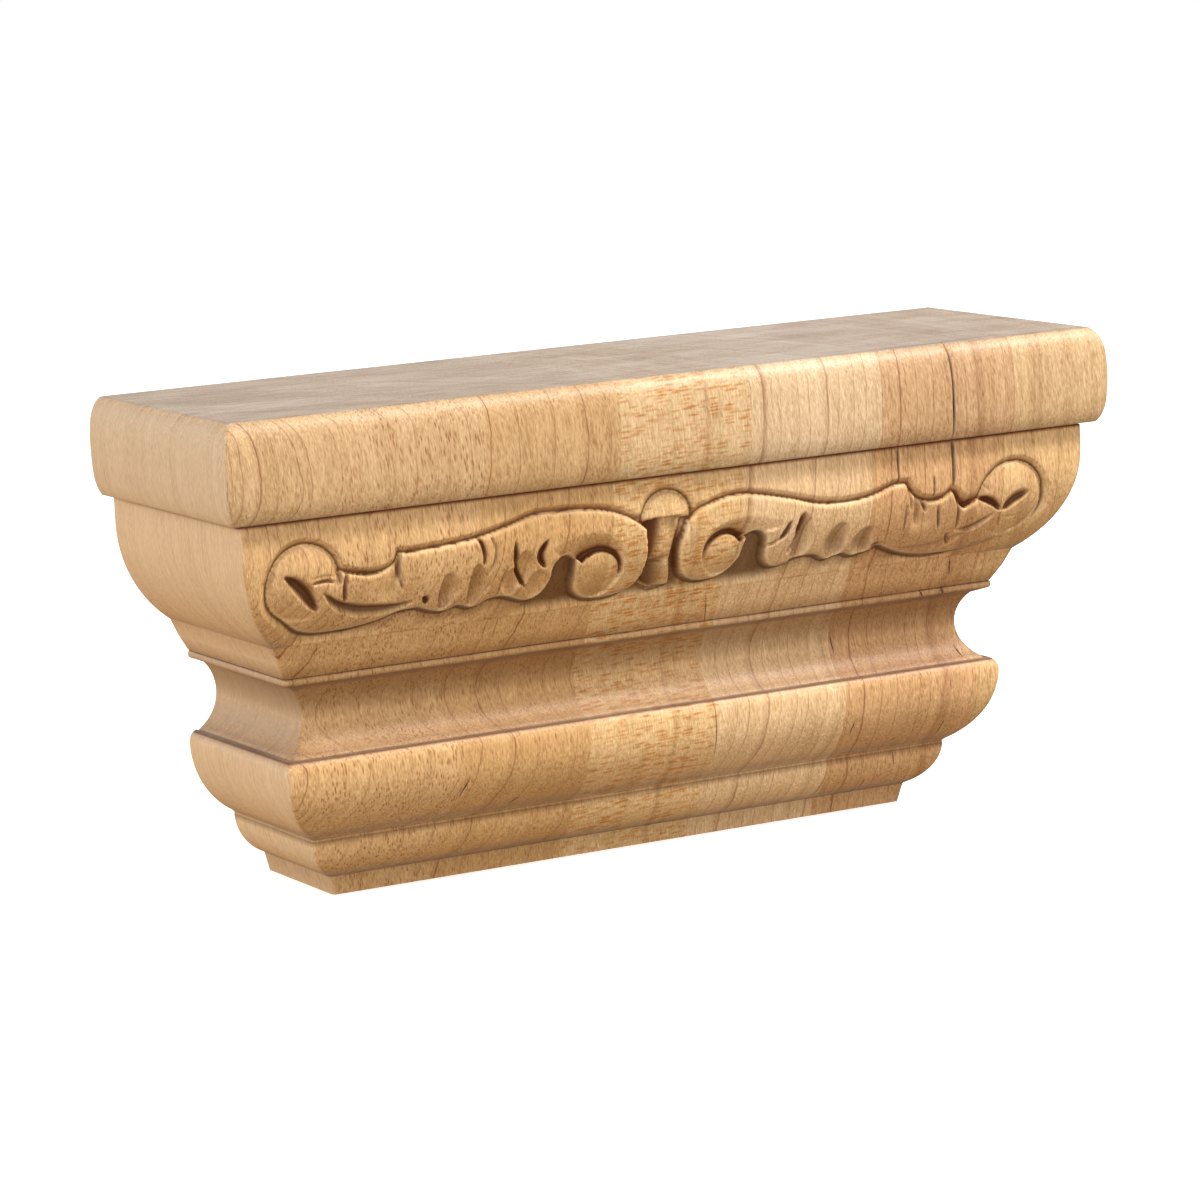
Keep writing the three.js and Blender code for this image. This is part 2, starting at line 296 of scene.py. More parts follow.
@dataclass
class Scroll:
    """One scroll with its leaf and end disc. The sheet's u runs outwards from the middle and v up from the
    ovolo's foot."""

    left: float
    crest: Points
    dip: Points
    disc: Disc
    disc_arc: tuple[float, float]
    keel: Points
    turn: Points
    boss: Disc
    channel: Points
    channel_depth: float
    cuts: tuple[Cut, ...]
    scoops: tuple[Scoop, ...]
    lobes: Points = LOBES
    pocket: Points = ((24.6, 14.2), (29.5, 14.8))
    rim_drop: float = 0.5
    rim_width: float = 1.1
    disc_drop: float = 0.9
    disc_fall: float = 7.0
    boss_crown: float = 0.1
    boss_drop: float = 0.9
    boss_moat: float = 0.6
    channel_start: float = 1.0
    channel_wall: float = 3.2
    step_u: float = 74.5
    step_drop: float = 0.9
    step_length: float = 11.0
    step_heights: tuple[float, float] = (8.5, 13.0)

    def outline(self) -> np.ndarray:
        """The closed outline of the scroll, the leaf and the disc.

        Returns:
            An array of places, one row each.
        """
        runs = [Line(self.crest).samples(), Line(self.dip).samples(), self.disc.arc(*self.disc_arc),
                Line(self.keel).samples(), Line(self.lobes, 4).samples(), Line(self.turn).samples()]
        return np.vstack(runs)

    def channel_cut(self, u: np.ndarray, v: np.ndarray) -> np.ndarray:
        """The channel that winds round the boss, steep at the boss and rising gently to its rim.

        Args:
            u: Places across the sheet.
            v: Places up the sheet.

        Returns:
            The depths, zero outside the channel.
        """
        rim_line = Line(self.channel).samples()
        pocket = np.vstack([rim_line, [[self.boss.u, self.boss.v]], self.pocket])
        from_boss = -self.boss.within(u, v)
        within = np.minimum(from_boss, inside(pocket, u, v))
        rim = measure(rim_line, u, v)[0]
        slope = self.channel_depth * (rim / np.maximum(rim + from_boss, 1e-6)) ** 1.5
        return np.where(within > 0, np.minimum(self.channel_start + self.channel_wall * from_boss, slope), 0)

    def surface(self, edge: np.ndarray, u: np.ndarray, v: np.ndarray) -> np.ndarray:
        """How deep the scroll's own surface lies below the uncut ovolo.

        Args:
            edge: How far each place lies inside the scroll's outline.
            u: Places across the sheet.
            v: Places up the sheet.

        Returns:
            The depths.
        """
        depth = self.rim_drop * np.clip(1 - edge / self.rim_width, 0, 1) ** 2
        on_disc = smoothstep(self.disc.within(u, v), -0.6, 0.6)
        depth += self.disc_drop * (1 - np.clip(edge, 0, self.disc_fall) / self.disc_fall) ** 2 * on_disc
        in_boss = self.boss.within(u, v)
        dome = self.boss_crown + self.boss_drop * np.clip(1 - in_boss / self.boss.half_width, 0, 1) ** 2.2
        depth = np.where(in_boss > 0, dome, np.maximum(depth, np.clip(1 + in_boss / self.boss_moat, 0, 1)))
        # Beyond a step across the leaf its surface drops and slowly rises again.
        dropped = smoothstep(u, self.step_u - 0.25, self.step_u + 0.25)
        left_over = 1 - smoothstep(u, self.step_u, self.step_u + self.step_length)
        depth += self.step_drop * dropped * left_over * smoothstep(v, *self.step_heights)
        depth = np.maximum(depth, self.channel_cut(u, v))
        for scoop in self.scoops:
            depth = np.maximum(depth, scoop.sink(u, v, self.left))
        return depth + self.strokes(u, v)

    def strokes(self, u: np.ndarray, v: np.ndarray) -> np.ndarray:
        """How deep the strokes of the carving tools go below the scroll's surface.

        Args:
            u: Places across the sheet.
            v: Places up the sheet.

        Returns:
            The depths.
        """
        deepest = np.zeros_like(u)
        for cut in self.cuts:
            deepest = np.maximum(deepest, cut.sink(u, v))
        return deepest


def left_scroll() -> Scroll:
    """The scroll on the left of the bud, as the front is seen.

    Returns:
        The scroll.
    """
    slit, veiner, slice_ = Tool.PARTING, Tool.VEINER, Tool.SLICE
    return Scroll(
        left=1.0,
        crest=((4.8, 19.8), (7, 21.5), (10.5, 23.6), (15.5, 25.6), (22.5, 26.9), (30.5, 27.3), (37.5, 27.2),
               (44.5, 25.3), (53.5, 23.3), (62.5, 22.4), (71.5, 21.9), (74.9, 22.2)),
        dip=((74.9, 22.2), (75.8, 19.8), (78.5, 18.1), (82.5, 17.5), (87.5, 18.5), (90.5, 19.6)),
        disc=Disc(100.3, 17.4, 9.7, 9.7), disc_arc=(168, -58),
        keel=((102.3, 6.8), (99.5, 4.9), (95.5, 3.7), (90.5, 3.4), (83.5, 3.7), (77.5, 4.8), (72.5, 6.5),
              (67, 6.9)),
        boss=Disc(17.7, 9.0, 6.0, 6.0),
        turn=((24.6, 14.2), (24, 11.3), (23.8, 8.3), (22.3, 5.2), (19.5, 3.2), (15, 2.5), (10, 2.9),
              (6.5, 4.6), (4.7, 7.5), (4, 11.3), (4.1, 15.3), (4.8, 19.8)),
        channel=((32.5, 17.8), (27.5, 20), (22.5, 20.9), (18, 20.5), (14.3, 18.6), (11.7, 15.8), (10.5, 12.3),
                 (10.7, 9.3), (11.8, 7.1)),
        channel_depth=4.0,
        scoops=(Scoop(59.4, 10.2, 3.1, 4.8), Scoop(51.4, 10.7, 3.1, 5.6),
                Scoop(43.3, 10.4, 2.6, 3.9, 1.6, -0.5), Scoop(38.9, 13.6, 3.0, 4.6, 1.5, 0.3),
                Scoop(34.7, 8.9, 3.4, 3.6, 1.3, 0.2)),
        cuts=(
            Cut(((95.8, 10.1), (97.8, 12.8), (99.5, 15.1), (102, 17.3), (105, 19.2)), 4.4, 2.3, slice_,
                0.5, 0.42),
            Cut(((70, 8.7), (74.5, 8.2), (80.5, 8.5), (85.5, 9.3), (90.5, 11.2), (94.3, 14)), 3.6, 1.9,
                slice_, 0.6, 0.3),
            Cut(((33.6, 20.2), (35.2, 17.6), (35.1, 15.4), (33.6, 13.4)), 2.3, 2.4, slit),
            Cut(((42.6, 20.8), (42.4, 18), (41.9, 15.3), (40.6, 12.2), (38.1, 8.4)), 1.8, 2.1, slit),
            Cut(((44.6, 14), (45.4, 11.3), (45.6, 8.9), (45.9, 7)), 1.1, 1.2, slice_, 0.4, 0.3),
            Cut(((53.2, 23.2), (52.1, 21.4), (51.2, 18.8), (51.1, 16.2)), 1.3, 1.7, slit, 0.3),
            Cut(((49.8, 22.9), (48.5, 20.8), (48, 18.3), (48.6, 15.6), (49.6, 13.3)), 1.0, 0.8, slit, 0.3),
            Cut(((74.6, 22.3), (74.8, 19.5), (74.6, 17), (73.6, 14), (72.8, 12.2)), 1.4, 1.1, slit, 0.5),
            Cut(((91.1, 21.2), (90.7, 18.3), (90.2, 15.9)), 1.2, 1.1, slit, 0.3),
            Cut(((88.8, 18.4), (89, 15.3), (88.6, 12.3), (88.3, 11.2)), 1.6, 1.4, slit, 0.3),
            Cut(((97.8, 16.7), (96, 17), (94, 17.1), (91.7, 16.5)), 1.3, 1.2, slit, 0.4),
            Cut(((98, 18), (94.5, 18.3), (91.8, 18)), 0.9, 0.4, slit, 0.4),
            Cut(((66.5, 9.4), (65.9, 8.8), (65.6, 8)), 2.0, 1.8, veiner, 0.3),
            Cut(((81.5, 5.6), (79, 6.6), (75.5, 7.2)), 1.4, 0.5, slit, 0.4),
        ),
    )


def right_scroll() -> Scroll:
    """The scroll on the right of the bud, cut by the same hand but not its exact mirror.

    Returns:
        The scroll.
    """
    slit, veiner, slice_ = Tool.PARTING, Tool.VEINER, Tool.SLICE
    return Scroll(
        left=-1.0,
        crest=((6.2, 20.6), (9.5, 23.3), (13.5, 24.6), (17.5, 25.6), (22, 25.9), (26.5, 25.3), (31.5, 24.3),
               (37.5, 22.9), (44.5, 21), (50.5, 20.3), (56.5, 20.4), (62.5, 21.4), (67.5, 23), (71.5, 23.1)),
        dip=((71.5, 23.1), (73.5, 20.3), (76.5, 18.3), (80.5, 17.5), (83.5, 18.1), (85.8, 19.6), (88.1, 16.9),
             (90.1, 14.4), (92.5, 15.2), (94.7, 16.6)),
        disc=Disc(104.5, 15.4, 10.1, 10.1), disc_arc=(170, -72),
        keel=((108, 5.4), (101.5, 3.6), (94.5, 2.5), (87.5, 2), (80.5, 2.5), (74.5, 3.8), (69.5, 5.7),
              (67, 6.9)),
        boss=Disc(18.3, 10.1, 5.2, 5.3),
        turn=((24.6, 14.2), (23.9, 11.5), (23.6, 8.6), (21.5, 5.6), (18, 3.8), (13.5, 3.7), (9.5, 5.1),
              (7.1, 7.7), (5.8, 11.3), (5.3, 15.3), (6.2, 20.6)),
        channel=((36.5, 16.3), (34.5, 17.7), (30.5, 18.9), (25.5, 19.6), (20.5, 19.7), (16, 18.5),
                 (12.9, 16.3), (11.6, 13.3), (12, 10.3), (13.6, 7.5)),
        channel_depth=3.8,
        scoops=(Scoop(60.2, 8.5, 3.2, 4.1, 2.6, -0.25), Scoop(51.9, 9.7, 3.3, 5.0, 2.8, -0.25),
                Scoop(42.4, 11.4, 3.6, 7.4, 2.5, 0.6)),
        cuts=(
            Cut(((109.5, 16.4), (106, 14.9), (102.8, 12.4)), 3.6, 1.8, slice_, 0.5, 0.35),
            Cut(((102.4, 11.9), (102.5, 9.8), (103.4, 7.2)), 1.3, 0.9, slice_, 0.4, 0.3),
            Cut(((107, 10.1), (103.7, 10.4)), 0.9, 0.4, slit, 0.4),
            Cut(((90, 8.5), (92.5, 8.4), (95, 9.1), (97.5, 10.3), (99.6, 11.5)), 2.2, 1.2, slice_, 0.5, 0.35),
            Cut(((95.2, 16.3), (97.5, 15.7), (99.6, 14.6), (101.8, 12.7)), 2.4, 2.1, slit, 0.4),
            Cut(((95.7, 19.9), (97.3, 18.3)), 0.8, 0.4, slit, 0.4),
            Cut(((41.3, 18.7), (40.8, 15.8), (39.8, 12.8), (38.7, 10.3), (37.9, 8.2)), 1.8, 1.5, slit),
            Cut(((37.1, 16.7), (36.2, 14.5), (34.6, 12.3)), 2.0, 1.7, slit, 0.4),
            Cut(((34.6, 12.4), (32.8, 11.5), (30.8, 11.4), (29, 12.2)), 1.3, 1.0, slit, 0.4),
            Cut(((71.8, 22.5), (73, 19), (73.5, 15.8)), 1.1, 0.9, slit, 0.3),
            Cut(((76.8, 18.5), (77.6, 16.5), (78.5, 14.8)), 1.3, 1.1, slit, 0.3),
            Cut(((74.6, 18.8), (75.6, 15.3), (76.2, 11.3)), 2.0, 0.6, veiner, 0.3),
            Cut(((82, 15.7), (82.8, 12.3), (83.5, 9.6)), 1.2, 1.1, slit, 0.3),
            Cut(((71.8, 16.8), (72.3, 13), (72.4, 9.8)), 1.0, 0.8, slit, 0.3),
            Cut(((86.8, 18.6), (88.3, 15.3), (89.1, 11.3), (89.2, 8.5)), 1.4, 1.2, slit, 0.3),
            Cut(((86.7, 7.6), (87.5, 6), (88.6, 4.3)), 1.6, 1.4, slit, 0.3),
            Cut(((64.5, 7.2), (66.5, 6.2)), 2.4, 1.8, veiner, 0.3),
            Cut(((74.5, 5), (80, 4.7), (86, 5.4), (92, 7)), 3.4, 0.5, slice_, 0.4, 0.3),
            Cut(((7, 20.3), (7.8, 15.3), (8.2, 11.3)), 0.9, 0.35, slit, 0.3),
        ),
    )


@dataclass(frozen=True)
class Bud:
    """The bud between the scrolls: a domed cap on a stem with two facets and a flared foot. Its own u runs to
    the right as the front is seen."""

    cap_u: float = 0.3
    cap_foot: float = 22.0
    cap_half: float = 6.7
    cap_rise: float = 6.7
    ridge: float = -0.3
    waist: float = 10.9
    cap_crown: float = 0.1
    cap_drop: float = 0.9
    lip_sag: float = 0.9
    stem_drop: float = 1.0
    left_facet: float = 0.85
    right_facet: float = 0.25
    foot_shift: float = 1.6
    foot_splay: float = 0.35
    nick_depth: float = 1.1
    rim_drop: float = 0.3
    rim_width: float = 0.7
    left_flank: Points = ((-5.2, 22), (-4.7, 18), (-4.2, 15), (-3.7, 11.8), (-4, 9.3), (-3.2, 6.3),
                          (-1.7, 4.3))
    right_flank: Points = ((5.1, 3.9), (4.2, 7), (3.2, 10), (3.3, 12), (3.7, 16), (4.4, 22))

    def outline(self) -> np.ndarray:
        """The closed outline of the cap and the stem.

        Returns:
            An array of places, one row each.
        """
        turns = np.linspace(0, math.pi, 32)
        cap = np.column_stack([self.cap_u + self.cap_half * np.cos(turns),
                               self.cap_foot + self.cap_rise * np.sin(turns)])
        return np.vstack([cap, Line(self.left_flank, 3).samples(), [[0.4, 3.3]],
                          Line(self.right_flank, 3).samples()])

    def surface(self, edge: np.ndarray, u: np.ndarray, v: np.ndarray) -> np.ndarray:
        """How deep the bud's surface lies below the uncut ovolo.

        Args:
            edge: How far each place lies inside the bud's outline.
            u: Places to the right of the bud's middle.
            v: Places up the sheet.

        Returns:
            The depths.
        """
        radius = np.hypot((u - self.cap_u) / self.cap_half, (v - self.cap_foot) / self.cap_rise)
        cap = self.cap_crown + self.cap_drop * np.clip(radius, 0, 1) ** 3
        below = smoothstep(v, self.waist + 0.6, self.waist - 0.8)
        off_ridge = u - self.ridge - below * (self.foot_shift + self.foot_splay * (self.waist - v))
        facets = np.where(off_ridge < 0, -self.left_facet * off_ridge, self.right_facet * off_ridge)
        nick = self.nick_depth * np.exp(-((v - self.waist) / 1.1) ** 2 - ((u - self.cap_u) / 1.8) ** 2)
        stem = self.stem_drop + facets + nick + 0.3 * smoothstep(v, 17, 21.5)
        sag = self.lip_sag * np.clip(np.abs(u - self.cap_u) / self.cap_half, 0, 1) ** 2
        lip = self.cap_foot - sag + 0.3
        depth = np.where(v > lip, cap, stem)
        return depth + self.rim_drop * np.clip(1 - edge / self.rim_width, 0, 1) ** 2


@dataclass
class Carving:
    """The relief cut into the front ovolo, as a depth into the wood at each place of it. Pairs of numbers are
    the places on the drawing sheet between which something comes in or fades out."""

    middle: float = -4.5
    ground: float = 3.2
    ground_fade: float = 6.5
    crest_ground: float = 1.6
    crest_fade: float = 2.0
    crest_heights: tuple[float, float] = (12, 20)
    beside_discs: tuple[float, float] = (92, 106)
    under_right_disc: tuple[float, float] = (82, 94)
    under_heights: tuple[float, float] = (14, 7)
    run_out: float = 0.8
    foot_slope: float = 1.1
    notch_start: tuple[float, float] = (19, 23)
    notch_end: tuple[float, float] = (37, 33)
    notch_heights: tuple[float, float] = (17, 14)
    notch_drop: float = 0.8
    beside_bud: tuple[float, float] = (9, 7)
    bud_heights: tuple[float, float] = (24, 20)
    bud_drop: float = 0.6
    level_reach: float = 40.0
    gouge_ripple: float = 0.09
    sanding_ripple: float = 0.05
    rim_highlight_width: float = 0.5
    groove_shade_widths: tuple[float, float] = (0.75, 0.45)
    boss_shade_reach: float = 0.8
    left: Scroll = field(default_factory=left_scroll)
    right: Scroll = field(default_factory=right_scroll)
    bud: Bud = field(default_factory=Bud)
    wall: float = 3.2
    cracks: tuple[Cut, ...] = (
        Cut(((81, 33), (81.3, 27), (81.3, 20.8)), 1.1, 1.1, Tool.PARTING, 0.3),
        Cut(((64.4, 33), (64.4, 28), (64.6, 23.4)), 0.8, 0.8, Tool.PARTING, 0.3),
        Cut(((66, 33), (66.2, 30)), 0.5, 0.4, Tool.PARTING, 0.3),
        Cut(((75.3, 23.8), (75.6, 18.6)), 0.7, 0.7, Tool.PARTING, 0.3),
    )

    def hands(self, across: np.ndarray) -> list[tuple[Scroll, np.ndarray]]:
        """Both scrolls, each with a mask of the places on its side of the middle."""
        return [(self.left, across < 0), (self.right, across >= 0)]

    def floor(self, across: np.ndarray, v: np.ndarray) -> tuple[np.ndarray, np.ndarray]:
        """How the ground lies beside the carving: deep below it and shallow above it.

        Args:
            across: Places to the right of the carving's middle.
            v: Heights above the ovolo's foot.

        Returns:
            The depth of the ground and how far out it reaches.
        """
        upper = np.maximum(smoothstep(v, *self.crest_heights),
                           0.85 * smoothstep(np.abs(across), *self.beside_discs))
        depth = self.ground + (self.crest_ground - self.ground) * upper
        # Under the right disc the ground runs out into the ovolo.
        under = smoothstep(across, *self.under_right_disc)
        depth *= 1 - self.run_out * under * smoothstep(v, *self.under_heights)
        return depth, self.ground_fade + (self.crest_fade - self.ground_fade) * upper

    def edges(self, x: np.ndarray, v: np.ndarray) -> tuple[np.ndarray, np.ndarray]:
        """How far places lie inside the scrolls' outline and inside the bud's.

        Args:
            x: Places along the block in millimetres.
            v: Heights above the ovolo's foot in millimetres.

        Returns:
            The two distances, negative outside.
        """
        across = x - self.middle
        scrolls = np.zeros(x.shape)
        for scroll, here in self.hands(across):
            scrolls[here] = inside(scroll.outline(), np.abs(across[here]), v[here])
        return scrolls - 0.1 - 0.4 * smoothstep(v, 12, 18), inside(self.bud.outline(), across, v)

    def rims(self, x: np.ndarray, v: np.ndarray) -> list[np.ndarray]:
        """How far places lie from the arrises of the carving.

        Args:
            x: Places along the block in millimetres.
            v: Heights above the ovolo's foot in millimetres.

        Returns:
            Signed distances to the outline of the whole carving, to the foot of its wall and to the bosses'
            edges.
        """
        outline = np.maximum(*self.edges(x, v))
        across = x - self.middle
        bosses = np.zeros(x.shape)
        for scroll, here in self.hands(across):
            bosses[here] = scroll.boss.within(np.abs(across[here]), v[here])
        return [outline, outline + self.floor(across, v)[0] / self.wall, bosses]

    def rim_highlights_and_groove_shade(self, x: np.ndarray, v: np.ndarray) -> tuple[np.ndarray, np.ndarray]:
        """Where painted highlights lie along the arrises, paler also where sanding rubbed them, and where
        painted shade lies in the grooves, darker also where the lacquer stayed in them.

        Args:
            x: Places along the block in millimetres.
            v: Heights above the ovolo's foot in millimetres.

        Returns:
            The two shares from 0 to 1 at each place.
        """
        outline, foot, bosses = self.rims(x, v)
        across = x - self.middle
        # Painted highlight along the carving's outline and round the bosses.
        pale = np.where(outline >= -0.02, np.exp(-(outline / self.rim_highlight_width) ** 2), 0)
        pale = np.maximum(pale, np.where(bosses >= -0.02, 0.8 * np.exp(-(bosses / self.rim_highlight_width) ** 2), 0))
        # Painted shade at the foot of the carving's wall, in the tool cuts, round the bosses and in the
        # cracks, partly also lacquer left there.
        reach = np.where(foot > 0, *self.groove_shade_widths)
        dark = np.where(outline < -0.1, np.exp(-(foot / reach) ** 2), 0)
        # Both are faint where the ground runs out and leaves no wall.
        wall = 1 - self.run_out * (1 - smoothstep(self.floor(across, v)[0], 0.2, 1.4))
        pale, dark = pale * wall, dark * wall
        for scroll, here in self.hands(across):
            u, height, within = np.abs(across[here]), v[here], outline[here] > 0
            cut = scroll.strokes(u, height) * within
            off_boss = (bosses[here] + self.boss_shade_reach) / self.boss_shade_reach
            round_boss = np.exp(-off_boss ** 2) * (bosses[here] < -0.1) * within
            round_boss = round_boss * smoothstep(scroll.channel_cut(u, height), 0.6, 2.0)
            dark[here] = np.maximum.reduce([dark[here], np.clip(cut / 1.3, 0, 1) ** 1.3, round_boss])
        for crack in self.cracks:
            dark = np.maximum(dark, np.clip(crack.sink(x, v) / 0.4, 0, 1))
        return pale, dark

    def depth(self, x: np.ndarray, v: np.ndarray) -> np.ndarray:
        """How deep the ovolo is cut.

        Args:
            x: Places along the block in millimetres.
            v: Heights above the ovolo's foot in millimetres.

        Returns:
            The depths into the wood, in millimetres, zero where it is uncut.
        """
        across = x - self.middle
        in_scrolls, in_bud = self.edges(x, v)
        result = np.zeros(x.shape)
        for scroll, here in self.hands(across):
            u, height = np.abs(across[here]), v[here]
            edge = np.maximum(in_scrolls, in_bud)[here]
            notch = smoothstep(u, *self.notch_start) * smoothstep(u, *self.notch_end)
            notch = notch * smoothstep(height, *self.notch_heights)
            beside_bud = smoothstep(u, *self.beside_bud) * smoothstep(height, *self.bud_heights)
            depth, fade = self.floor(across[here], height)
            # In the notch under the scroll and beside the bud the ground is deeper and level.
            fade = fade + self.level_reach * np.maximum(notch, beside_bud)
            depth = depth + self.notch_drop * notch + self.bud_drop * beside_bud
            out = np.maximum(-edge, 0)
            floor = depth * np.clip(1 - out / fade, 0, 1)
            uneven = ripple(u + 0.4 * height, height * 0.9, 11, 3)
            floor += self.gouge_ripple * uneven * smoothstep(floor, 0.1, 0.6)
            own = np.where(in_scrolls[here] > in_bud[here],
                           scroll.surface(np.maximum(in_scrolls[here], 0), u, height),
                           self.bud.surface(np.maximum(in_bud[here], 0), across[here], height))
            ground = soft_least(own + self.wall * out, floor, 0.25)
            ground = soft_least(ground, self.foot_slope * (height - 0.2), 0.9)
            result[here] = np.where(edge > 0, own, np.maximum(ground, 0))
        result += self.sanding_ripple * ripple(x, v, 9, 5) * smoothstep(result, 0.02, 0.4)
        # The line that was scribed along the ovolo's foot before carving can still be seen.
        scribed = Cut(tuple((u, 0.35) for u in (-108, -60, 0, 60, 96)), 0.8, 0.35, Tool.PARTING, 0.2)
        result = np.maximum(result, scribed.sink(x, v))
        for crack in self.cracks:
            result += crack.sink(x, v)
        return result


@dataclass(frozen=True)
class Split:
    """A narrow drying split or a dark knot streak in the wood, from its upper to its lower end."""

    upper: tuple[float, float]
    lower: tuple[float, float]
    width: float
    depth: float
    darkness: float = 1.0


SPLITS = (
    Split((77.8, 126.8), (78.9, 102.2), 1.1, 0.8),
    Split((64.9, 106), (64.6, 102.5), 0.4, 0.3, 0.5),
    Split((-46.4, 69), (-47.2, 64), 0.7, 0.5), Split((14.4, 65.5), (15.4, 60.3), 0.5, 0.35),
    Split((88, 68.5), (89, 63.6), 0.6, 0.4), Split((81.2, 60), (81.8, 58.2), 0.7, 0.4),
    Split((87.8, 60), (88.4, 58), 0.7, 0.4), Split((57.3, 50), (57.9, 45.6), 0.6, 0.35),
    Split((-54.2, 28.4), (-56.2, 23.6), 0.9, 0.35), Split((16.6, 39), (18.2, 22.6), 0.4, 0.3, 0.8),
    Split((60, 28), (59.3, 24), 0.6, 0.35), Split((89, 36), (89.3, 33), 0.4, 0.25, 0.8),
    Split((89.2, 24), (88.6, 20), 0.6, 0.3, 0.9), Split((77.4, 15.8), (78, 12), 0.5, 0.3),
    Split((94.6, 43), (95.6, 40), 0.6, 0.3), Split((70, 9), (69.6, 6.4), 0.9, 0.2, 0.7),
    Split((-38, 21), (-40, 19.4), 1.2, 0.1, 0.7), Split((75.5, 21), (73.8, 19.6), 1.2, 0.1, 0.7),
    Split((-92, 26.6), (-92.2, 25.3), 0.6, 0.15, 0.9), Split((-85, 27.6), (-85.1, 26.4), 0.6, 0.15, 0.9),
    Split((-126.4, 114), (-126.4, 109), 0.4, 0.1, 0.7),
)


# The waves that hand sanding leaves: each one's length over a turn, its lean and its start.
SANDING = ((9.1, 0.21, 0.0), (5.3, -0.13, 1.7), (17.0, 0.0, 0.6))


@dataclass
class Capital:
    """The block: its members from the underside up, and how finely it is meshed. A set-in is how far a member
    lies behind the slab's face."""

    width: float = 254.0
    depth: float = 79.4
    foot_height: float = 5.0
    foot_lean: float = 1.2
    foot_set_in: float = 42.5
    quarter_height: float = 11.1
    quarter_set_in: float = 33.3
    quarter_radius: float = 12.9
    quarter_lift: float = 0.9
    torus_height: float = 23.4
    torus_set_in: float = 22.1
    torus_bulge: float = 21.0
    torus_arris: float = 2.9
    torus_overrun: float = 1.3
    scotia_height: float = 17.4
    scotia_set_in: float = 30.3
    scotia_radius: float = 11.1
    scotia_middle: float = 9.5
    fillet_height: float = 1.1
    fillet_set_in: float = 24.2
    bead_radius: float = 1.0
    bead_set_in: float = 23.1
    bead_upper: float = 0.45
    bevel_height: float = 8.7
    bevel_set_in: float = 23.0
    ovolo_height: float = 32.7
    ovolo_land: float = 6.4
    ovolo_set_in: float = 5.45
    ovolo_radius: float = 32.6
    quirk_height: float = 0.8
    quirk_depth: float = 0.25
    slab_height: float = 24.8
    slab_swell: float = 1.1
    slab_arrises: tuple[float, float] = (1.3, 2.4)
    mitre_round: float = 1.0
    top_round: float = 0.5
    seam: float = 0.1
    crease: float = 32.0
    columns: int = 84
    fine_columns: int = 8
    fine_row: float = 0.36
    carving_limit: float = 118.0
    smoothing: float = 0.35
    occlusion_shade_rays: int = 16
    occlusion_shade_reach: float = 22.0
    carving: Carving = field(default_factory=Carving)

    def __post_init__(self) -> None:
        """Works out the levels of the members from their heights."""
        self.torus_foot = self.foot_height + self.quarter_height
        self.scotia_foot = self.torus_foot + self.torus_height
        self.fillet_foot = self.scotia_foot + self.scotia_height
        self.bead_foot = self.fillet_foot + self.fillet_height
        self.bevel_foot = self.bead_foot + 2 * self.bead_radius
        self.ovolo_foot = self.bevel_foot + self.bevel_height
        self.ovolo_top = self.ovolo_foot + self.ovolo_height
        self.slab_foot = self.ovolo_top + self.quirk_height
        self.height = self.slab_foot + self.slab_height
        self.front = -self.depth / 2

    @staticmethod
    def arc(set_in: float, centre: float, depth: float, rise: float, low: float, high: float, steps: int,
            side: int = -1) -> list[tuple[float, float]]:
        """An arc of an ellipse in the section.

        Args:
            set_in: The set-in of its fullest point, or of its deepest point in a hollow.
            centre: The height of that point.
            depth: How far the ellipse reaches from its middle.
            rise: How high it reaches from its middle.
            low: The height that the arc starts at.
            high: The height that it ends at.
            steps: How many spans it has.
            side: -1 where it swells outwards, 1 for a hollow.

        Returns:
            Points of set-in and height.
        """
        start = math.asin(max(-1, (low - centre) / rise))
        end = math.asin(min(1, (high - centre) / rise))
        angles = np.linspace(start, end, steps + 1)
        return [(set_in - side * depth * (1 - math.cos(a)), centre + rise * math.sin(a)) for a in angles]

    def ovolo_at(self, z: float | np.ndarray) -> float | np.ndarray:
        """The ovolo's set-in at a height."""
        drop = np.clip(self.ovolo_top - self.ovolo_land - z, 0, self.ovolo_radius)
        return self.ovolo_set_in + self.ovolo_radius - np.sqrt(self.ovolo_radius**2 - drop**2)

    def ovolo_rows(self) -> list[tuple[float, float]]:
        """The ovolo's points, evenly spaced along its curve and up its upright land.

        Returns:
            Points of set-in and height.
        """
        centre = self.ovolo_top - self.ovolo_land
        sweep = math.asin((centre - self.ovolo_foot) / self.ovolo_radius)
        turns = np.linspace(sweep, 0, round(sweep * self.ovolo_radius / self.fine_row) + 1)
        curve = [centre - self.ovolo_radius * math.sin(a) for a in turns]
        land = list(np.linspace(centre, self.ovolo_top, round(self.ovolo_land / self.fine_row) + 1))[1:]
        return [(float(self.ovolo_at(z)), float(z)) for z in curve + land]

    def slab_face(self) -> list[tuple[float, float]]:
        """The slab's face: a slight swell with softened arrises.

        Returns:
            Points of set-in and height.
        """
        points = []
        for t in np.sin(np.linspace(-math.pi / 2, math.pi / 2, 21)):
            arris = self.slab_arrises[0] if t < 0 else self.slab_arrises[1]
            height = self.slab_foot + self.slab_height * (1 + t) / 2
            points.append((self.slab_swell * t * t + arris * t**6, height))
        return points

    def section(self) -> list[tuple[float, float]]:
        """The moulding's section from the underside to the top.

        Returns:
            Points of set-in and height.
        """
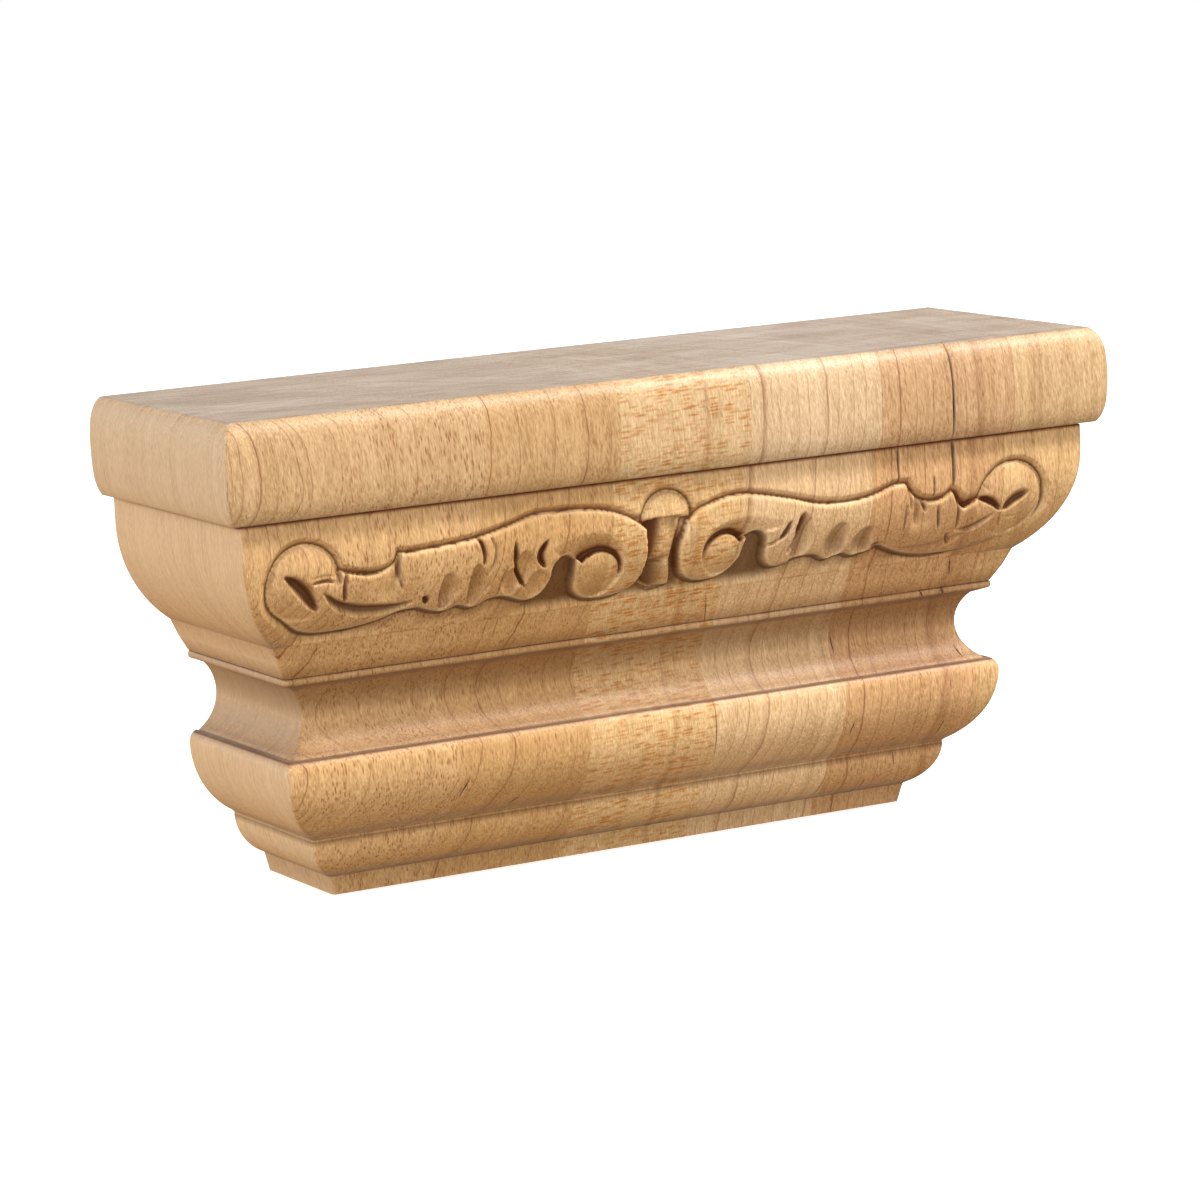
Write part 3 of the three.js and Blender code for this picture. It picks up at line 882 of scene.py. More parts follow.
        # The members are parted by narrow seams, so that no two points of the section are the same.
        seam = self.seam
        arris_foot = self.scotia_foot - self.torus_arris
        foot_top = self.foot_set_in - self.foot_lean
        quarter = self.arc(self.quarter_set_in, self.torus_foot + self.quarter_lift, self.quarter_radius,
                           self.quarter_radius, self.foot_height, self.torus_foot, 10)
        quarter = [(min(s, foot_top - seam / 2), z) for s, z in quarter]
        torus = self.arc(self.torus_set_in, arris_foot, self.torus_bulge,
                         self.torus_height - self.torus_overrun, self.torus_foot + seam, arris_foot, 20)
        torus = [(min(s, self.quarter_set_in + seam), z) for s, z in torus]
        arris = self.arc(self.torus_set_in, arris_foot, self.torus_arris, self.torus_arris + seam,
                         arris_foot + 3 * seam, self.scotia_foot, 7)
        joint = (arris[-1][0] + 5 * seam, self.scotia_foot - 4 * seam)
        scotia = self.arc(self.scotia_set_in, self.scotia_foot + self.scotia_middle, self.scotia_radius,
                          self.scotia_radius, self.scotia_foot + seam, self.fillet_foot, 18, 1)
        fillet = (self.fillet_set_in, self.bead_foot - seam / 2)
        bead = []
        for a in np.linspace(0, math.pi, 8):
            share = 1.0 if a < math.pi / 2 else self.bead_upper
            bead.append((self.bead_set_in + self.bead_radius * (1 - math.sin(a)) * share,
                         self.bead_foot + self.bead_radius * (1 - math.cos(a))))
        bevel_foot = (self.bevel_set_in + 1.5 * seam, self.bevel_foot + 3 * seam)
        bevel_top = float(self.ovolo_at(self.ovolo_foot))
        bevel = ((self.bevel_set_in + bevel_top) / 2 - 1.5 * seam, (self.bevel_foot + self.ovolo_foot) / 2)
        quirk = self.ovolo_set_in + self.quirk_depth
        return [(self.foot_set_in, 0.0), (foot_top, self.foot_height - 2 * seam), *quarter, *torus, *arris,
                joint, *scotia, fillet, *bead, bevel_foot, bevel, *self.ovolo_rows(), (quirk, self.ovolo_top),
                (quirk, self.slab_foot), *self.slab_face()]

    def station(self, number: int, set_in: float) -> tuple[float, float]:
        """Where a member runs at a corner: the left back, the left mitre, the right mitre or the right back.

        Args:
            number: The corner, from 0 to 3 in that order.
            set_in: The member's set-in.

        Returns:
            Its place in X and Y.
        """
        x = self.width / 2 - set_in
        y = self.depth / 2 if number in (0, 3) else self.front + set_in
        return (-x if number < 2 else x), y

    def block(self) -> bmesh.types.BMesh:
        """Runs the section round the front and both ends, mitred at the front corners.

        Returns:
            The plain moulded walls, open at the top, the underside and the back.
        """
        bm = bmesh.new()
        section = self.section()
        rows = [bm.verts.new((0, 0, 0)) for _ in section]
        edges = [bm.edges.new(pair) for pair in zip(rows, rows[1:])]
        for number in range(4):
            if number:
                made = bmesh.ops.extrude_edge_only(bm, edges=edges)["geom"]
                links = {v: next(e.other_vert(v) for e in v.link_edges if e.other_vert(v) in set(rows))
                         for v in made if isinstance(v, bmesh.types.BMVert)}
                back = {old: new for new, old in links.items()}
                rows = [back[v] for v in rows]
                edges = [e for e in made if isinstance(e, bmesh.types.BMEdge)
                         and e.verts[0] in links and e.verts[1] in links]
            for vert, (set_in, z) in zip(rows, section):
                x, y = self.station(number, set_in)
                vert.co = Vector((x, y, z)) * MM
        return bm

    def spans(self, bm: bmesh.types.BMesh, axis: int, length: float) -> list[bmesh.types.BMEdge]:
        """The edges along one axis that are longer than a length.

        Args:
            bm: The block.
            axis: 0 for X and 1 for Y.
            length: The least length in millimetres.

        Returns:
            The edges.
        """
        found = []
        for edge in bm.edges:
            way = edge.verts[1].co - edge.verts[0].co
            if abs(way[axis]) > length * MM and way.length - abs(way[axis]) < 0.02 * MM:
                found.append(edge)
        return found

    def mitres(self, bm: bmesh.types.BMesh) -> list[bmesh.types.BMEdge]:
        """The edges of both mitres.

        Args:
            bm: The moulded walls.

        Returns:
            The edges.
        """
        found = []
        for edge in bm.edges:
            one_side = edge.verts[0].co.x * edge.verts[1].co.x > 0
            off = [self.width / 2 - abs(v.co.x) / MM - v.co.y / MM + self.front for v in edge.verts]
            if one_side and max(map(abs, off)) < 1e-3:
                found.append(edge)
        return found

    def close(self, bm: bmesh.types.BMesh) -> None:
        """Closes the top, the underside and the back, and softens the edges round the top.

        Args:
            bm: The moulded walls.
        """
        tops = []
        for level in (0.0, self.height):
            rim = [e for e in bm.edges
                   if e.is_boundary and all(abs(v.co.z / MM - level) < 1e-3 for v in e.verts)]
            ends = [v for e in rim for v in e.verts if abs(v.co.y / MM - self.depth / 2) < 1e-3]
            across = bmesh.ops.contextual_create(bm, geom=ends)["edges"]
            tops.append(bmesh.ops.contextual_create(bm, geom=rim + across)["faces"])
        bmesh.ops.contextual_create(bm, geom=[e for e in bm.edges if e.is_boundary])
        bmesh.ops.recalc_face_normals(bm, faces=bm.faces)
        rim = [e for face in tops[1] for e in face.edges]
        bmesh.ops.bevel(bm, geom=rim, offset=self.top_round * MM, offset_type="OFFSET", segments=2,
                        profile=0.5, affect="EDGES", material=-1)

    def open_splits(self, bm: bmesh.types.BMesh) -> None:
        """Cuts the narrow splits of the wood into the mouldings.

        Args:
            bm: The block, whose ovolo isn't carved yet.
        """
        dark = bm.verts.layers.float["split"]
        for split in SPLITS:
            (x1, z1), (x0, z0) = split.upper, split.lower
            way = Vector((x1 - x0, 0, z1 - z0)).normalized()
            normal = Vector((way.z, 0, -way.x))
            middle = Vector(((x0 + x1) / 2, 0, (z0 + z1) / 2))
            reach = split.width * 2 + abs(x1 - x0) + 6
            # Two cuts bound the split, and a third one runs down its middle, which is pressed in.
            for shift in (-1, 1, 0):
                near = [f for f in bm.faces if f.normal.y < -0.05
                        and any(z0 - 2 < v.co.z / MM < z1 + 2 for v in f.verts)
                        and abs(f.calc_center_median().x / MM - middle.x) < reach
                        and not self.ovolo_foot < f.calc_center_median().z / MM < self.ovolo_top]
                # A dict drops what comes twice and keeps the order, so that every run cuts alike.
                geom = [*near, *dict.fromkeys(e for f in near for e in f.edges),
                        *dict.fromkeys(v for f in near for v in f.verts)]
                place = (middle + normal * shift * split.width / 2) * MM
                made = bmesh.ops.bisect_plane(bm, geom=geom, dist=1e-7, plane_co=place, plane_no=normal)
                if shift:
                    continue
                for vert in (v for v in made["geom_cut"] if isinstance(v, bmesh.types.BMVert)):
                    share = (vert.co.z / MM - z0) / (z1 - z0)
                    if -0.01 <= share <= 1.01:
                        taper = max(0.0, math.sin(math.pi * min(max(share, 0.06), 0.94))) ** 0.5
                        vert.co.y += split.depth * taper * MM
                        vert[dark] = split.darkness * taper

    def settle(self, x: np.ndarray, z: np.ndarray) -> tuple[np.ndarray, np.ndarray]:
        """Moves the places that lie beside an arris of the carving onto it, so that it comes out clean.

        Args:
            x: Places along the block in millimetres.
            z: Their heights in millimetres.

        Returns:
            The moved places and heights.
        """
        # No place moves by as much as half of the mesh's spacing, so that no two of them meet.
        step, reach, most = 0.02, 0.6 * self.fine_row, 0.47 * self.fine_row
        v = z - self.ovolo_foot
        here = self.carving.rims(x, v)
        right = self.carving.rims(x + step, v)
        above = self.carving.rims(x, v + step)
        moved = np.zeros(x.shape, bool)
        for rim, rim_right, rim_above in zip(here, right, above):
            du, dv = (rim_right - rim) / step, (rim_above - rim) / step
            length = np.maximum(np.hypot(du, dv), 1e-6)
            near = (np.abs(rim) < reach) & ~moved & (length > 0.5)
            shift = np.where(near, np.clip(rim, -most, most) / length**2, 0)
            x, z = x - shift * du, z - shift * dv
            moved |= near
        return x, z

    def carve(self, bm: bmesh.types.BMesh) -> None:
        """Meshes the front ovolo finely and sinks the relief into it.

        Args:
            bm: The block.
        """
        low, high = (self.ovolo_foot - 1e-3) * MM, (self.ovolo_top + 1e-3) * MM

        def on_ovolo(vert: bmesh.types.BMVert) -> bool:
            """Whether a vertex lies on the front ovolo."""
            set_in = vert.co.y / MM - self.front
            return low < vert.co.z < high and abs(set_in - self.ovolo_at(vert.co.z / MM)) < 0.03

        along = [e for e in self.spans(bm, 0, 0.5) if all(on_ovolo(v) for v in e.verts)]
        bmesh.ops.subdivide_edges(bm, edges=along, cuts=self.fine_columns - 1)
        verts = [v for v in bm.verts if on_ovolo(v) and abs(v.co.x) / MM < self.width / 2 - self.ovolo_set_in]
        place = np.array([v.co for v in verts]) / MM
        x, z = place[:, 0].copy(), place[:, 2].copy()
        free = (z > self.ovolo_foot + 0.3) & (z < self.ovolo_top - 0.3) & (np.abs(x) < self.carving_limit)
        x[free], z[free] = self.settle(x[free], z[free])
        sunk = self.carving.depth(x, z - self.ovolo_foot)
        edge = np.minimum(smoothstep(z, self.ovolo_foot, self.ovolo_foot + 0.2),
                          smoothstep(z, self.ovolo_top, self.ovolo_top - 0.2))
        y = self.front + self.ovolo_at(z) + sunk * edge
        for vert, spot in zip(verts, np.column_stack([x, y, z]) * MM):
            vert.co = spot
        bmesh.ops.smooth_vert(bm, verts=verts, factor=self.smoothing, use_axis_y=True)
        fine = set(verts)
        # Each quad is split along its shorter diagonal, so that the splits run along the arrises.
        quads = [f for f in bm.faces if len(f.verts) == 4 and all(v in fine for v in f.verts)]
        bmesh.ops.triangulate(bm, faces=quads, quad_method="SHORT_EDGE")
        # Painted highlights on the arrises, and painted shade in the cuts that darkens with their depth.
        pale, dark = self.carving.rim_highlights_and_groove_shade(x, z - self.ovolo_foot)
        dark = np.maximum(dark, 0.95 * smoothstep(sunk, 0.8, 4.0))
        crest, groove = bm.verts.layers.float["crest"], bm.verts.layers.float["groove"]
        for vert, lit, dim in zip(verts, pale * edge, dark * edge):
            vert[crest], vert[groove] = lit, dim
        log.info("relief: %d places, deepest %.2f mm", len(verts), sunk.max())

    def hand_work(self, bm: bmesh.types.BMesh) -> None:
        """Gives the machine-cut mouldings the slight unevenness of hand sanding.

        Args:
            bm: The block.
        """
        for vert in bm.verts:
            x, y, z = vert.co / MM
            if y > self.depth / 2 - 1 or z > self.height - 1 or z < 0.5:
                continue
            wave = sum(math.sin(x / length + z * lean + phase) for length, lean, phase in SANDING)
            # The thin bead is the most uneven member.
            on_bead = math.exp(-((z - self.bead_foot - self.bead_radius) / 1.5) ** 2)
            vert.co.y += (0.03 + 0.05 * on_bead) * (wave + 1) / 2 * MM
            vert.co.z += 0.06 * on_bead * math.sin(x / 6.7) * MM

    def darken_joints_and_paint_shade(self, bm: bmesh.types.BMesh) -> None:
        """Darkens the joints between the members, partly as dark joints and partly as painted shade in the
        creases, and paints shade into the scotia and along the foot by the floor.

        Args:
            bm: The block.
        """
        groove = bm.verts.layers.float["groove"]
        # Each row: the height of a joint or a hollow, how far the darkening reaches and how strong it is.
        joints = (
            (self.scotia_foot - 0.4, 0.4, 0.95),
            (self.bevel_foot, 0.5, 0.5),
            (self.fillet_foot, 0.8, 0.4),
            (self.torus_foot + 0.05, 0.8, 0.7),
            (self.ovolo_top + self.quirk_height / 2, 0.8, 0.45),
            (self.foot_height - 0.1, 0.8, 0.4),
            # These last three rows are painted shade: in the scotia's roof under the bead, on its floor, and
            # along the foot by the floor.
            (self.fillet_foot - 3, 8, 0.64),
            (self.scotia_foot + 5, 7, 0.36),
            (0, 5, 0.26),
        )
        for vert in bm.verts:
            for level, reach, share in joints:
                gap = (vert.co.z / MM - level) / reach
                if abs(gap) < 1:
                    vert[groove] = max(vert[groove], share * (1 - gap * gap))

    def occlusion_shade(self, bm: bmesh.types.BMesh) -> np.ndarray:
        """Finds how closed-in each place is, for the painted shade in the recesses, which also stands for
        darker lacquer left there.

        Args:
            bm: The finished shape.

        Returns:
            A share from 0 to 1 for each vertex.
        """
        tree = BVHTree.FromBMesh(bm)
        draw = np.random.default_rng(11)
        rays = draw.normal(size=(self.occlusion_shade_rays, 3))
        rays /= np.linalg.norm(rays, axis=1)[:, None]
        rays = [Vector(r) for r in rays]
        reach = self.occlusion_shade_reach * MM
        hollow = np.zeros(len(bm.verts))
        for number, vert in enumerate(bm.verts):
            # The slab has no recesses.
            if vert.co.z > (self.slab_foot + 2) * MM:
                continue
            normal = vert.normal
            start = vert.co + normal * 0.08 * MM
            closed = 0.0
            for ray in rays:
                way = (ray + normal * 1.05).normalized()
                closed += 1 - (tree.ray_cast(start, way, reach)[3] or reach) / reach
            hollow[number] = closed / len(rays)
        return hollow

    @staticmethod
    def write_hollow(mesh: bpy.types.Mesh, hollow: np.ndarray) -> None:
        """Writes how closed-in each place is, averaged with its neighbours.

        Args:
            mesh: The finished mesh.
            hollow: How closed-in each vertex is.
        """
        ends = np.empty(len(mesh.edges) * 2, np.int32)
        mesh.edges.foreach_get("vertices", ends)
        ends = ends.reshape(-1, 2)
        links = np.bincount(ends.ravel(), minlength=len(hollow))
        for _ in range(3):
            total = np.bincount(ends[:, 0], hollow[ends[:, 1]], len(hollow))
            total += np.bincount(ends[:, 1], hollow[ends[:, 0]], len(hollow))
            hollow = (hollow + total / links) / 2
        layer = mesh.attributes.new("hollow", "FLOAT", "POINT")
        layer.data.foreach_set("value", hollow.astype(np.float32))

    def trim(self, bm: bmesh.types.BMesh) -> None:
        """Keeps the shape within the block's box, which the softened arrises may pass by a hair.

        Args:
            bm: The block.
        """
        low = Vector((-self.width / 2, self.front, 0.0)) * MM
        high = Vector((self.width / 2, -self.front, self.height)) * MM
        for vert in bm.verts:
            vert.co = [min(max(value, a), b) for value, a, b in zip(vert.co, low, high)]

    def build(self) -> bpy.types.Object:
        """Makes the carved block.

        Returns:
            The block's object.
        """
        bm = self.block()
        bmesh.ops.bevel(bm, geom=self.mitres(bm), offset=self.mitre_round * MM, offset_type="OFFSET",
                        segments=3, profile=0.5, affect="EDGES", material=-1, loop_slide=True)
        bmesh.ops.subdivide_edges(bm, edges=self.spans(bm, 1, 20), cuts=9)
        bmesh.ops.subdivide_edges(bm, edges=self.spans(bm, 0, 100), cuts=self.columns - 1)
        self.close(bm)
        for name in ("split", "crest", "groove"):
            bm.verts.layers.float.new(name)
        bm.normal_update()
        self.open_splits(bm)
        self.carve(bm)
        self.darken_joints_and_paint_shade(bm)
        self.hand_work(bm)
        self.trim(bm)
        bm.normal_update()
        hollow = self.occlusion_shade(bm)
        # Only the flat top, underside and back have faces of many corners.
        for face in bm.faces:
            face.smooth = len(face.verts) < 12
        for edge in bm.edges:
            middle = (edge.verts[0].co.z + edge.verts[1].co.z) / 2 / MM
            carved = self.ovolo_foot + 0.2 < middle < self.ovolo_top - 0.2
            if not carved and edge.calc_face_angle(0.0) > math.radians(self.crease):
                edge.smooth = False
        mesh = bpy.data.meshes.new(NODE + "_carved")
        bm.to_mesh(mesh)
        bm.free()
        self.write_hollow(mesh, hollow)
        piece = bpy.data.objects.new("carved_block", mesh)
        bpy.context.scene.collection.objects.link(piece)
        log.info("block: %d faces, %d vertices", len(mesh.polygons), len(mesh.vertices))
        return piece


def linear(hex_colour: str) -> tuple[float, float, float, float]:
    """Turns an sRGB hex colour to the linear values that a shader takes."""
    parts = [int(hex_colour[i:i + 2], 16) / 255 for i in (1, 3, 5)]
    return (*[c / 12.92 if c <= 0.04045 else ((c + 0.055) / 1.055) ** 2.4 for c in parts], 1.0)


@dataclass(frozen=True)
class Graph:
    """The nodes of a material or of the room's light."""

    tree: bpy.types.NodeTree

    def add(self, kind: str, feeds: dict[int | str, Feed] | None = None, out: int | str = 0,
            **settings: str | bool) -> Socket | None:
        """Adds one node with its settings and links.

        Args:
            kind: The node's type name, without its first part.
            feeds: What goes into its inputs, by name or number: another node's output, or a value.
            out: Which output is wanted, by name or number.
            **settings: The node's own settings.

        Returns:
            The wanted output, or None for a node that has none.
        """
        made = self.tree.nodes.new("ShaderNode" + kind)
        for name, value in settings.items():
            setattr(made, name, value)
        for socket, source in (feeds or {}).items():
            if isinstance(source, Socket):
                self.tree.links.new(source, made.inputs[socket])
            else:
                made.inputs[socket].default_value = source
        return made.outputs[out] if made.outputs else None


@dataclass(frozen=True)
class Stave:
    """One glued stave: where it starts along the block, its colour, and how its growth rings and rays run.
    The ring angle is the way from the pith, turned from +X towards +Y."""

    start: float
    colour: str
    ring_angle: float
    ring_gap: float
    ring_strength: float
    flecks: float
    rays: float
    tilt: float = 0.0


STAVES = (
    Stave(-127.0, "#dab07a", 45, 2.6, 0.85, 0.55, 0.0, 0.02),
    Stave(-96.5, "#dcb27c", 42, 5.6, 0.55, 1.00, 0.0, 0.03),
    Stave(-58.5, "#d6aa72", 31, 7.6, 0.95, 0.65, 0.0, 0.0),
    Stave(-20.5, "#e6c08a", 4, 3.6, 0.32, 0.15, 1.0, 0.0),
    Stave(17.5, "#e8c393", 17, 4.5, 0.75, 0.20, 0.0, -0.04),
    Stave(56.0, "#daad7b", 3, 5.3, 0.90, 0.65, 0.0, 0.0),
    Stave(96.5, "#e4bc86", -8, 6.4, 0.70, 0.50, 0.0, -0.03),
)


@dataclass(frozen=True)
class LacqueredBeech:
    """Beech, moulded and carved, sanded and given a thin satin lacquer. The eye gets a warm tan wood with
    thin brown ring lines, short dark flecks or orange ray flecks by the way each stave was sawn, greyer and
    duller end grain on the level faces, and a darker amber in the recesses, partly lacquer left there and
    partly painted shade. Painted highlights lie on the carving's arrises, a painted sheen on the left end,
    and painted shade on the sloping faces, in the grooves and in the scotia. The pattern's sizes are in
    millimetres."""

    half_span: float
    slab_foot: float
    staves: tuple[Stave, ...] = STAVES
    ring_colour: str = "#8a4814"
    fleck_colour: str = "#9a5518"
    ray_colour: str = "#c47a28"
    slab_colour: str = "#edf1fb"
    slope_shade_and_grain_colour: str = "#c9a070"
    left_end_sheen_colour: str = "#dcc6a8"
    end_colour: str = "#968b82"
    recess_stain_and_shade_colour: str = "#8e5624"
    groove_stain_and_shade_colour: str = "#583210"
    crest_highlight_colour: str = "#e8b878"
    split_colour: str = "#2e1a0c"
    pith: float = 310.0
    ring_line: tuple[float, float] = (0.08, 0.32)
    late_wood: float = 0.25
    band: float = 0.34
    fibre_lean: float = 7.0
    roughness: float = 0.42
    end_roughness: float = 0.2

    def stave_values(self, nodes: Graph, share: Socket) -> list[Socket]:
        """Each stave's own values, with a hard change at every glue line.

        Args:
            nodes: The material's nodes.
            share: The share of the way along the block.

        Returns:
            The colours, the ways across the rings, the rings' gaps and strengths, and the flecks and rays.
        """
        rows = []
        for stave in self.staves:
            turn = math.radians(stave.ring_angle)
            # A ramp holds values from 0 to 1, so a way is halved and raised, and a gap is in centimetres.
            way = ((math.cos(turn) + 1) / 2, (math.sin(turn) + 1) / 2, (stave.tilt + 1) / 2, 1)
            rows.append((linear(stave.colour), way, (stave.ring_gap / 10, stave.ring_strength, 0, 1),
                         (stave.flecks, stave.rays, 0, 1)))
        found = []
        for values in zip(*rows):
            made = nodes.add("ValToRGB", {0: share})
            bar = made.node.color_ramp
            bar.interpolation = "CONSTANT"
            while len(bar.elements) < len(self.staves):
                bar.elements.new(1.0)
            for element, stave, value in zip(bar.elements, self.staves, values):
                element.position = (stave.start / self.half_span + 1) / 2
                element.color = value
            found.append(made)
        return found

    def rings(self, nodes: Graph, mm: Socket, way: Socket, numbers: Socket) -> tuple[Socket, Socket]:
        """The growth rings: sheets that each stave cuts at its own angle and gap.

        Args:
            nodes: The material's nodes.
            mm: The place in millimetres.
            way: Each stave's way across its rings.
            numbers: Each stave's gap between the rings and how strong they are.

        Returns:
            How far a place lies across the rings, in millimetres, and the strength of the ring lines.
        """
        way = nodes.add("VectorMath", {0: way, 1: (2, 2, 2), 2: (-1, -1, -1)}, operation="MULTIPLY_ADD")
        across = nodes.add("VectorMath", {0: mm, 1: way}, "Value", operation="DOT_PRODUCT")
        # The rings bow a little, as they run round a pith that lies well outside the stave.
        upright = nodes.add("VectorMath", {0: way, 1: (0, 0, 1)}, operation="CROSS_PRODUCT")
        bow = nodes.add("VectorMath", {0: mm, 1: upright}, "Value", operation="DOT_PRODUCT")
        bow = nodes.add("Math", {0: bow, 1: bow}, operation="MULTIPLY")
        across = nodes.add("Math", {0: bow, 1: 1 / (2 * self.pith), 2: across}, operation="MULTIPLY_ADD")
        # Each row: the size of a waviness, and how far it pushes the rings.
        for size, amount in (((26, 26, 60), 6.0), ((2.2, 2.2, 4.5), 0.55)):
            place = nodes.add("VectorMath", {0: mm, 1: size}, operation="DIVIDE")
            wave = nodes.add("TexNoise", {"Vector": place, "Scale": 1.0, "Detail": 2.0})
            across = nodes.add("Math", {0: wave, 1: amount, 2: across}, operation="MULTIPLY_ADD")
        own = nodes.add("SeparateColor", {0: numbers}).node.outputs
        gap = nodes.add("Math", {0: own[0], 1: 10.0}, operation="MULTIPLY")
        turn = nodes.add("Math", {0: across, 1: gap}, operation="DIVIDE")
        uneven = nodes.add("TexNoise", {"W": turn, "Scale": 0.8, "Detail": 0.0}, noise_dimensions="1D")
        turn = nodes.add("Math", {0: uneven, 1: 1.1, 2: turn}, operation="MULTIPLY_ADD")
        part = nodes.add("Math", {0: turn}, operation="FRACT")
        past = nodes.add("Math", {0: part, 1: gap}, operation="MULTIPLY")
        before = nodes.add("Math", {0: gap, 1: past}, operation="SUBTRACT")
        # A ring ends in a sharp thin line, and its last millimetre darkens a little towards it.
        core = nodes.add("MapRange", {0: past, 1: self.ring_line[0], 2: self.ring_line[1], 3: 1.0, 4: 0.0},
                         interpolation_type="SMOOTHSTEP")
        fade = nodes.add("MapRange", {0: before, 1: 0.0, 2: 1.0, 3: self.late_wood, 4: 0.0},
                         interpolation_type="SMOOTHSTEP")
        line = nodes.add("Math", {0: core, 1: fade}, operation="MAXIMUM")
        # No two rings are as dark as each other, and each one is broken along its length.
        number = nodes.add("Math", {0: turn}, operation="FLOOR")
        each = nodes.add("TexWhiteNoise", {"W": number}, noise_dimensions="1D")
        each = nodes.add("MapRange", {0: each, 3: 0.45, 4: 1.0})
        place = nodes.add("VectorMath", {0: mm, 1: (3, 3, 9)}, operation="DIVIDE")
        broken = nodes.add("TexNoise", {"Vector": place, "Scale": 1.0, "Detail": 2.0})
        broken = nodes.add("MapRange", {0: broken, 1: 0.3, 2: 0.6, 3: 0.6, 4: 1.0})
        for factor in (own[1], each, broken):
            line = nodes.add("Math", {0: line, 1: factor}, operation="MULTIPLY")
        return across, line

    def figure(self, nodes: Graph, mm: Socket, numbers: Socket) -> list[Socket]:
        """The dark flecks of staves sawn along the rings and the orange ray flecks of those sawn across them.

        Args:
            nodes: The material's nodes.
            mm: The place in millimetres.
            numbers: How strong each stave's flecks and ray flecks are.

        Returns:
            The strengths of the flecks and of the ray flecks.
        """
        own = nodes.add("SeparateColor", {0: numbers}).node.outputs
        found = []
        # Each row: the cell that holds one fleck, its lean in degrees, where its edge lies in the cell from
        # full to none, the size of the crowds that the flecks stand in, and how strong the stave has them.
        rows = (((0.66, 0.66, 2.7), 8, (0.14, 0.55), (7, 7, 16), own[0]),
                ((3.8, 3.0, 0.70), 3, (0.25, 0.66), (12, 12, 7), own[1]))
        for size, lean, (full, none), crowds, strength in rows:
            turned = nodes.add("Mapping", {0: mm, 2: (0, math.radians(lean), 0)})
            place = nodes.add("VectorMath", {0: turned, 1: size}, operation="DIVIDE")
            cells = nodes.add("TexVoronoi", {"Vector": place, "Scale": 1.0, "Randomness": 1.0}).node.outputs
            fleck = nodes.add("MapRange", {0: cells["Distance"], 1: full, 2: none, 3: 1.0, 4: 0.0},
                              interpolation_type="SMOOTHSTEP")
            draw = nodes.add("SeparateColor", {0: cells["Color"]})
            chosen = nodes.add("MapRange", {0: draw, 1: 0.1, 2: 0.55})
            place = nodes.add("VectorMath", {0: mm, 1: crowds}, operation="DIVIDE")
            crowd = nodes.add("TexNoise", {"Vector": place, "Scale": 1.0, "Detail": 2.0})
            crowd = nodes.add("MapRange", {0: crowd, 1: 0.34, 2: 0.58, 3: 0.35, 4: 1.0})
            for factor in (chosen, crowd, strength):
                fleck = nodes.add("Math", {0: fleck, 1: factor}, operation="MULTIPLY")
            found.append(fleck)
        return found

    def tones(self, nodes: Graph, mm: Socket, across: Socket, end_grain: Socket) -> tuple[Socket, Socket]:
        """How light or dark the wood is from place to place.

        Args:
            nodes: The material's nodes.
            mm: The place in millimetres.
            across: How far a place lies across the rings.
            end_grain: 1 on the level faces, where the wood's ends lie open.

        Returns:
            The tint that goes over the colour, and the finest pattern of the fibres.
        """
        wave = nodes.add("TexNoise", {"W": across, "Scale": 0.28, "Detail": 3.0}, noise_dimensions="1D")
        tone = nodes.add("Math", {0: wave, 1: self.band, 2: 1 - self.band / 2}, operation="MULTIPLY_ADD")
        # Pores and fibres are a tenth of a millimetre or less, too fine to show, so they are drawn three to
        # five times as coarse. Each row: the pattern's size and how much it lightens or darkens the wood.
        leaning = nodes.add("Mapping", {0: mm, 2: (0, math.radians(self.fibre_lean), 0)})
        for size, amount in (((14, 14, 40), 0.26), ((0.5, 0.5, 6.0), 0.8), ((0.28, 0.28, 1.5), 1.1)):
            place = nodes.add("VectorMath", {0: leaning, 1: size}, operation="DIVIDE")
            wave = nodes.add("TexNoise", {"Vector": place, "Scale": 1.0, "Detail": 2.0, "Roughness": 0.55})
            tone = nodes.add("Math", {0: wave, 1: amount, 2: tone}, operation="MULTIPLY_ADD")
            tone = nodes.add("Math", {0: tone, 1: amount / 2}, operation="SUBTRACT")
        mottle = wave
        # On the end grain: the scratches of the sander along the block, and larger darker patches.
        for size, amount in (((14, 0.5, 1), 1.3), ((34, 13, 20), 0.8)):
            place = nodes.add("VectorMath", {0: mm, 1: size}, operation="DIVIDE")
            wave = nodes.add("TexNoise", {"Vector": place, "Scale": 1.0, "Detail": 2.0})
            wave = nodes.add("Math", {0: wave, 1: 0.5}, operation="SUBTRACT")
            wave = nodes.add("Math", {0: wave, 1: amount}, operation="MULTIPLY")
            tone = nodes.add("Math", {0: wave, 1: end_grain, 2: tone}, operation="MULTIPLY_ADD")
        # Darker wood is also the warmer one.
        warm = nodes.add("Math", {0: tone, 1: 0.8}, operation="POWER")
        cool = nodes.add("Math", {0: tone, 1: 1.35}, operation="POWER")
        return nodes.add("CombineColor", {0: warm, 1: tone, 2: cool}), mottle

    def make(self) -> bpy.types.Material:
        """Builds the material.

        Returns:
            The material.
        """
        material = bpy.data.materials.new("beech, glued staves, carved and satin lacquered")
        material.use_nodes = True
        nodes = Graph(material.node_tree)
        nodes.tree.nodes.clear()
        position = nodes.add("TexCoord", out="Object")
        mm = nodes.add("VectorMath", {0: position, 3: 1 / MM}, operation="SCALE")
        axes = nodes.add("SeparateXYZ", {0: mm}).node.outputs
        share = nodes.add("MapRange", {0: axes[0], 1: -self.half_span, 2: self.half_span})
        normal = nodes.add("SeparateXYZ", {0: nodes.add("NewGeometry", out="Normal")}).node.outputs
        level = nodes.add("Math", {0: normal[2]}, operation="ABSOLUTE")
        end_grain = nodes.add("MapRange", {0: level, 1: 0.70, 2: 0.97})
        colour, way, gaps, flecks = self.stave_values(nodes, share)
        across, line = self.rings(nodes, mm, way, gaps)
        fleck, ray = self.figure(nodes, mm, flecks)
        tint, mottle = self.tones(nodes, mm, across, end_grain)
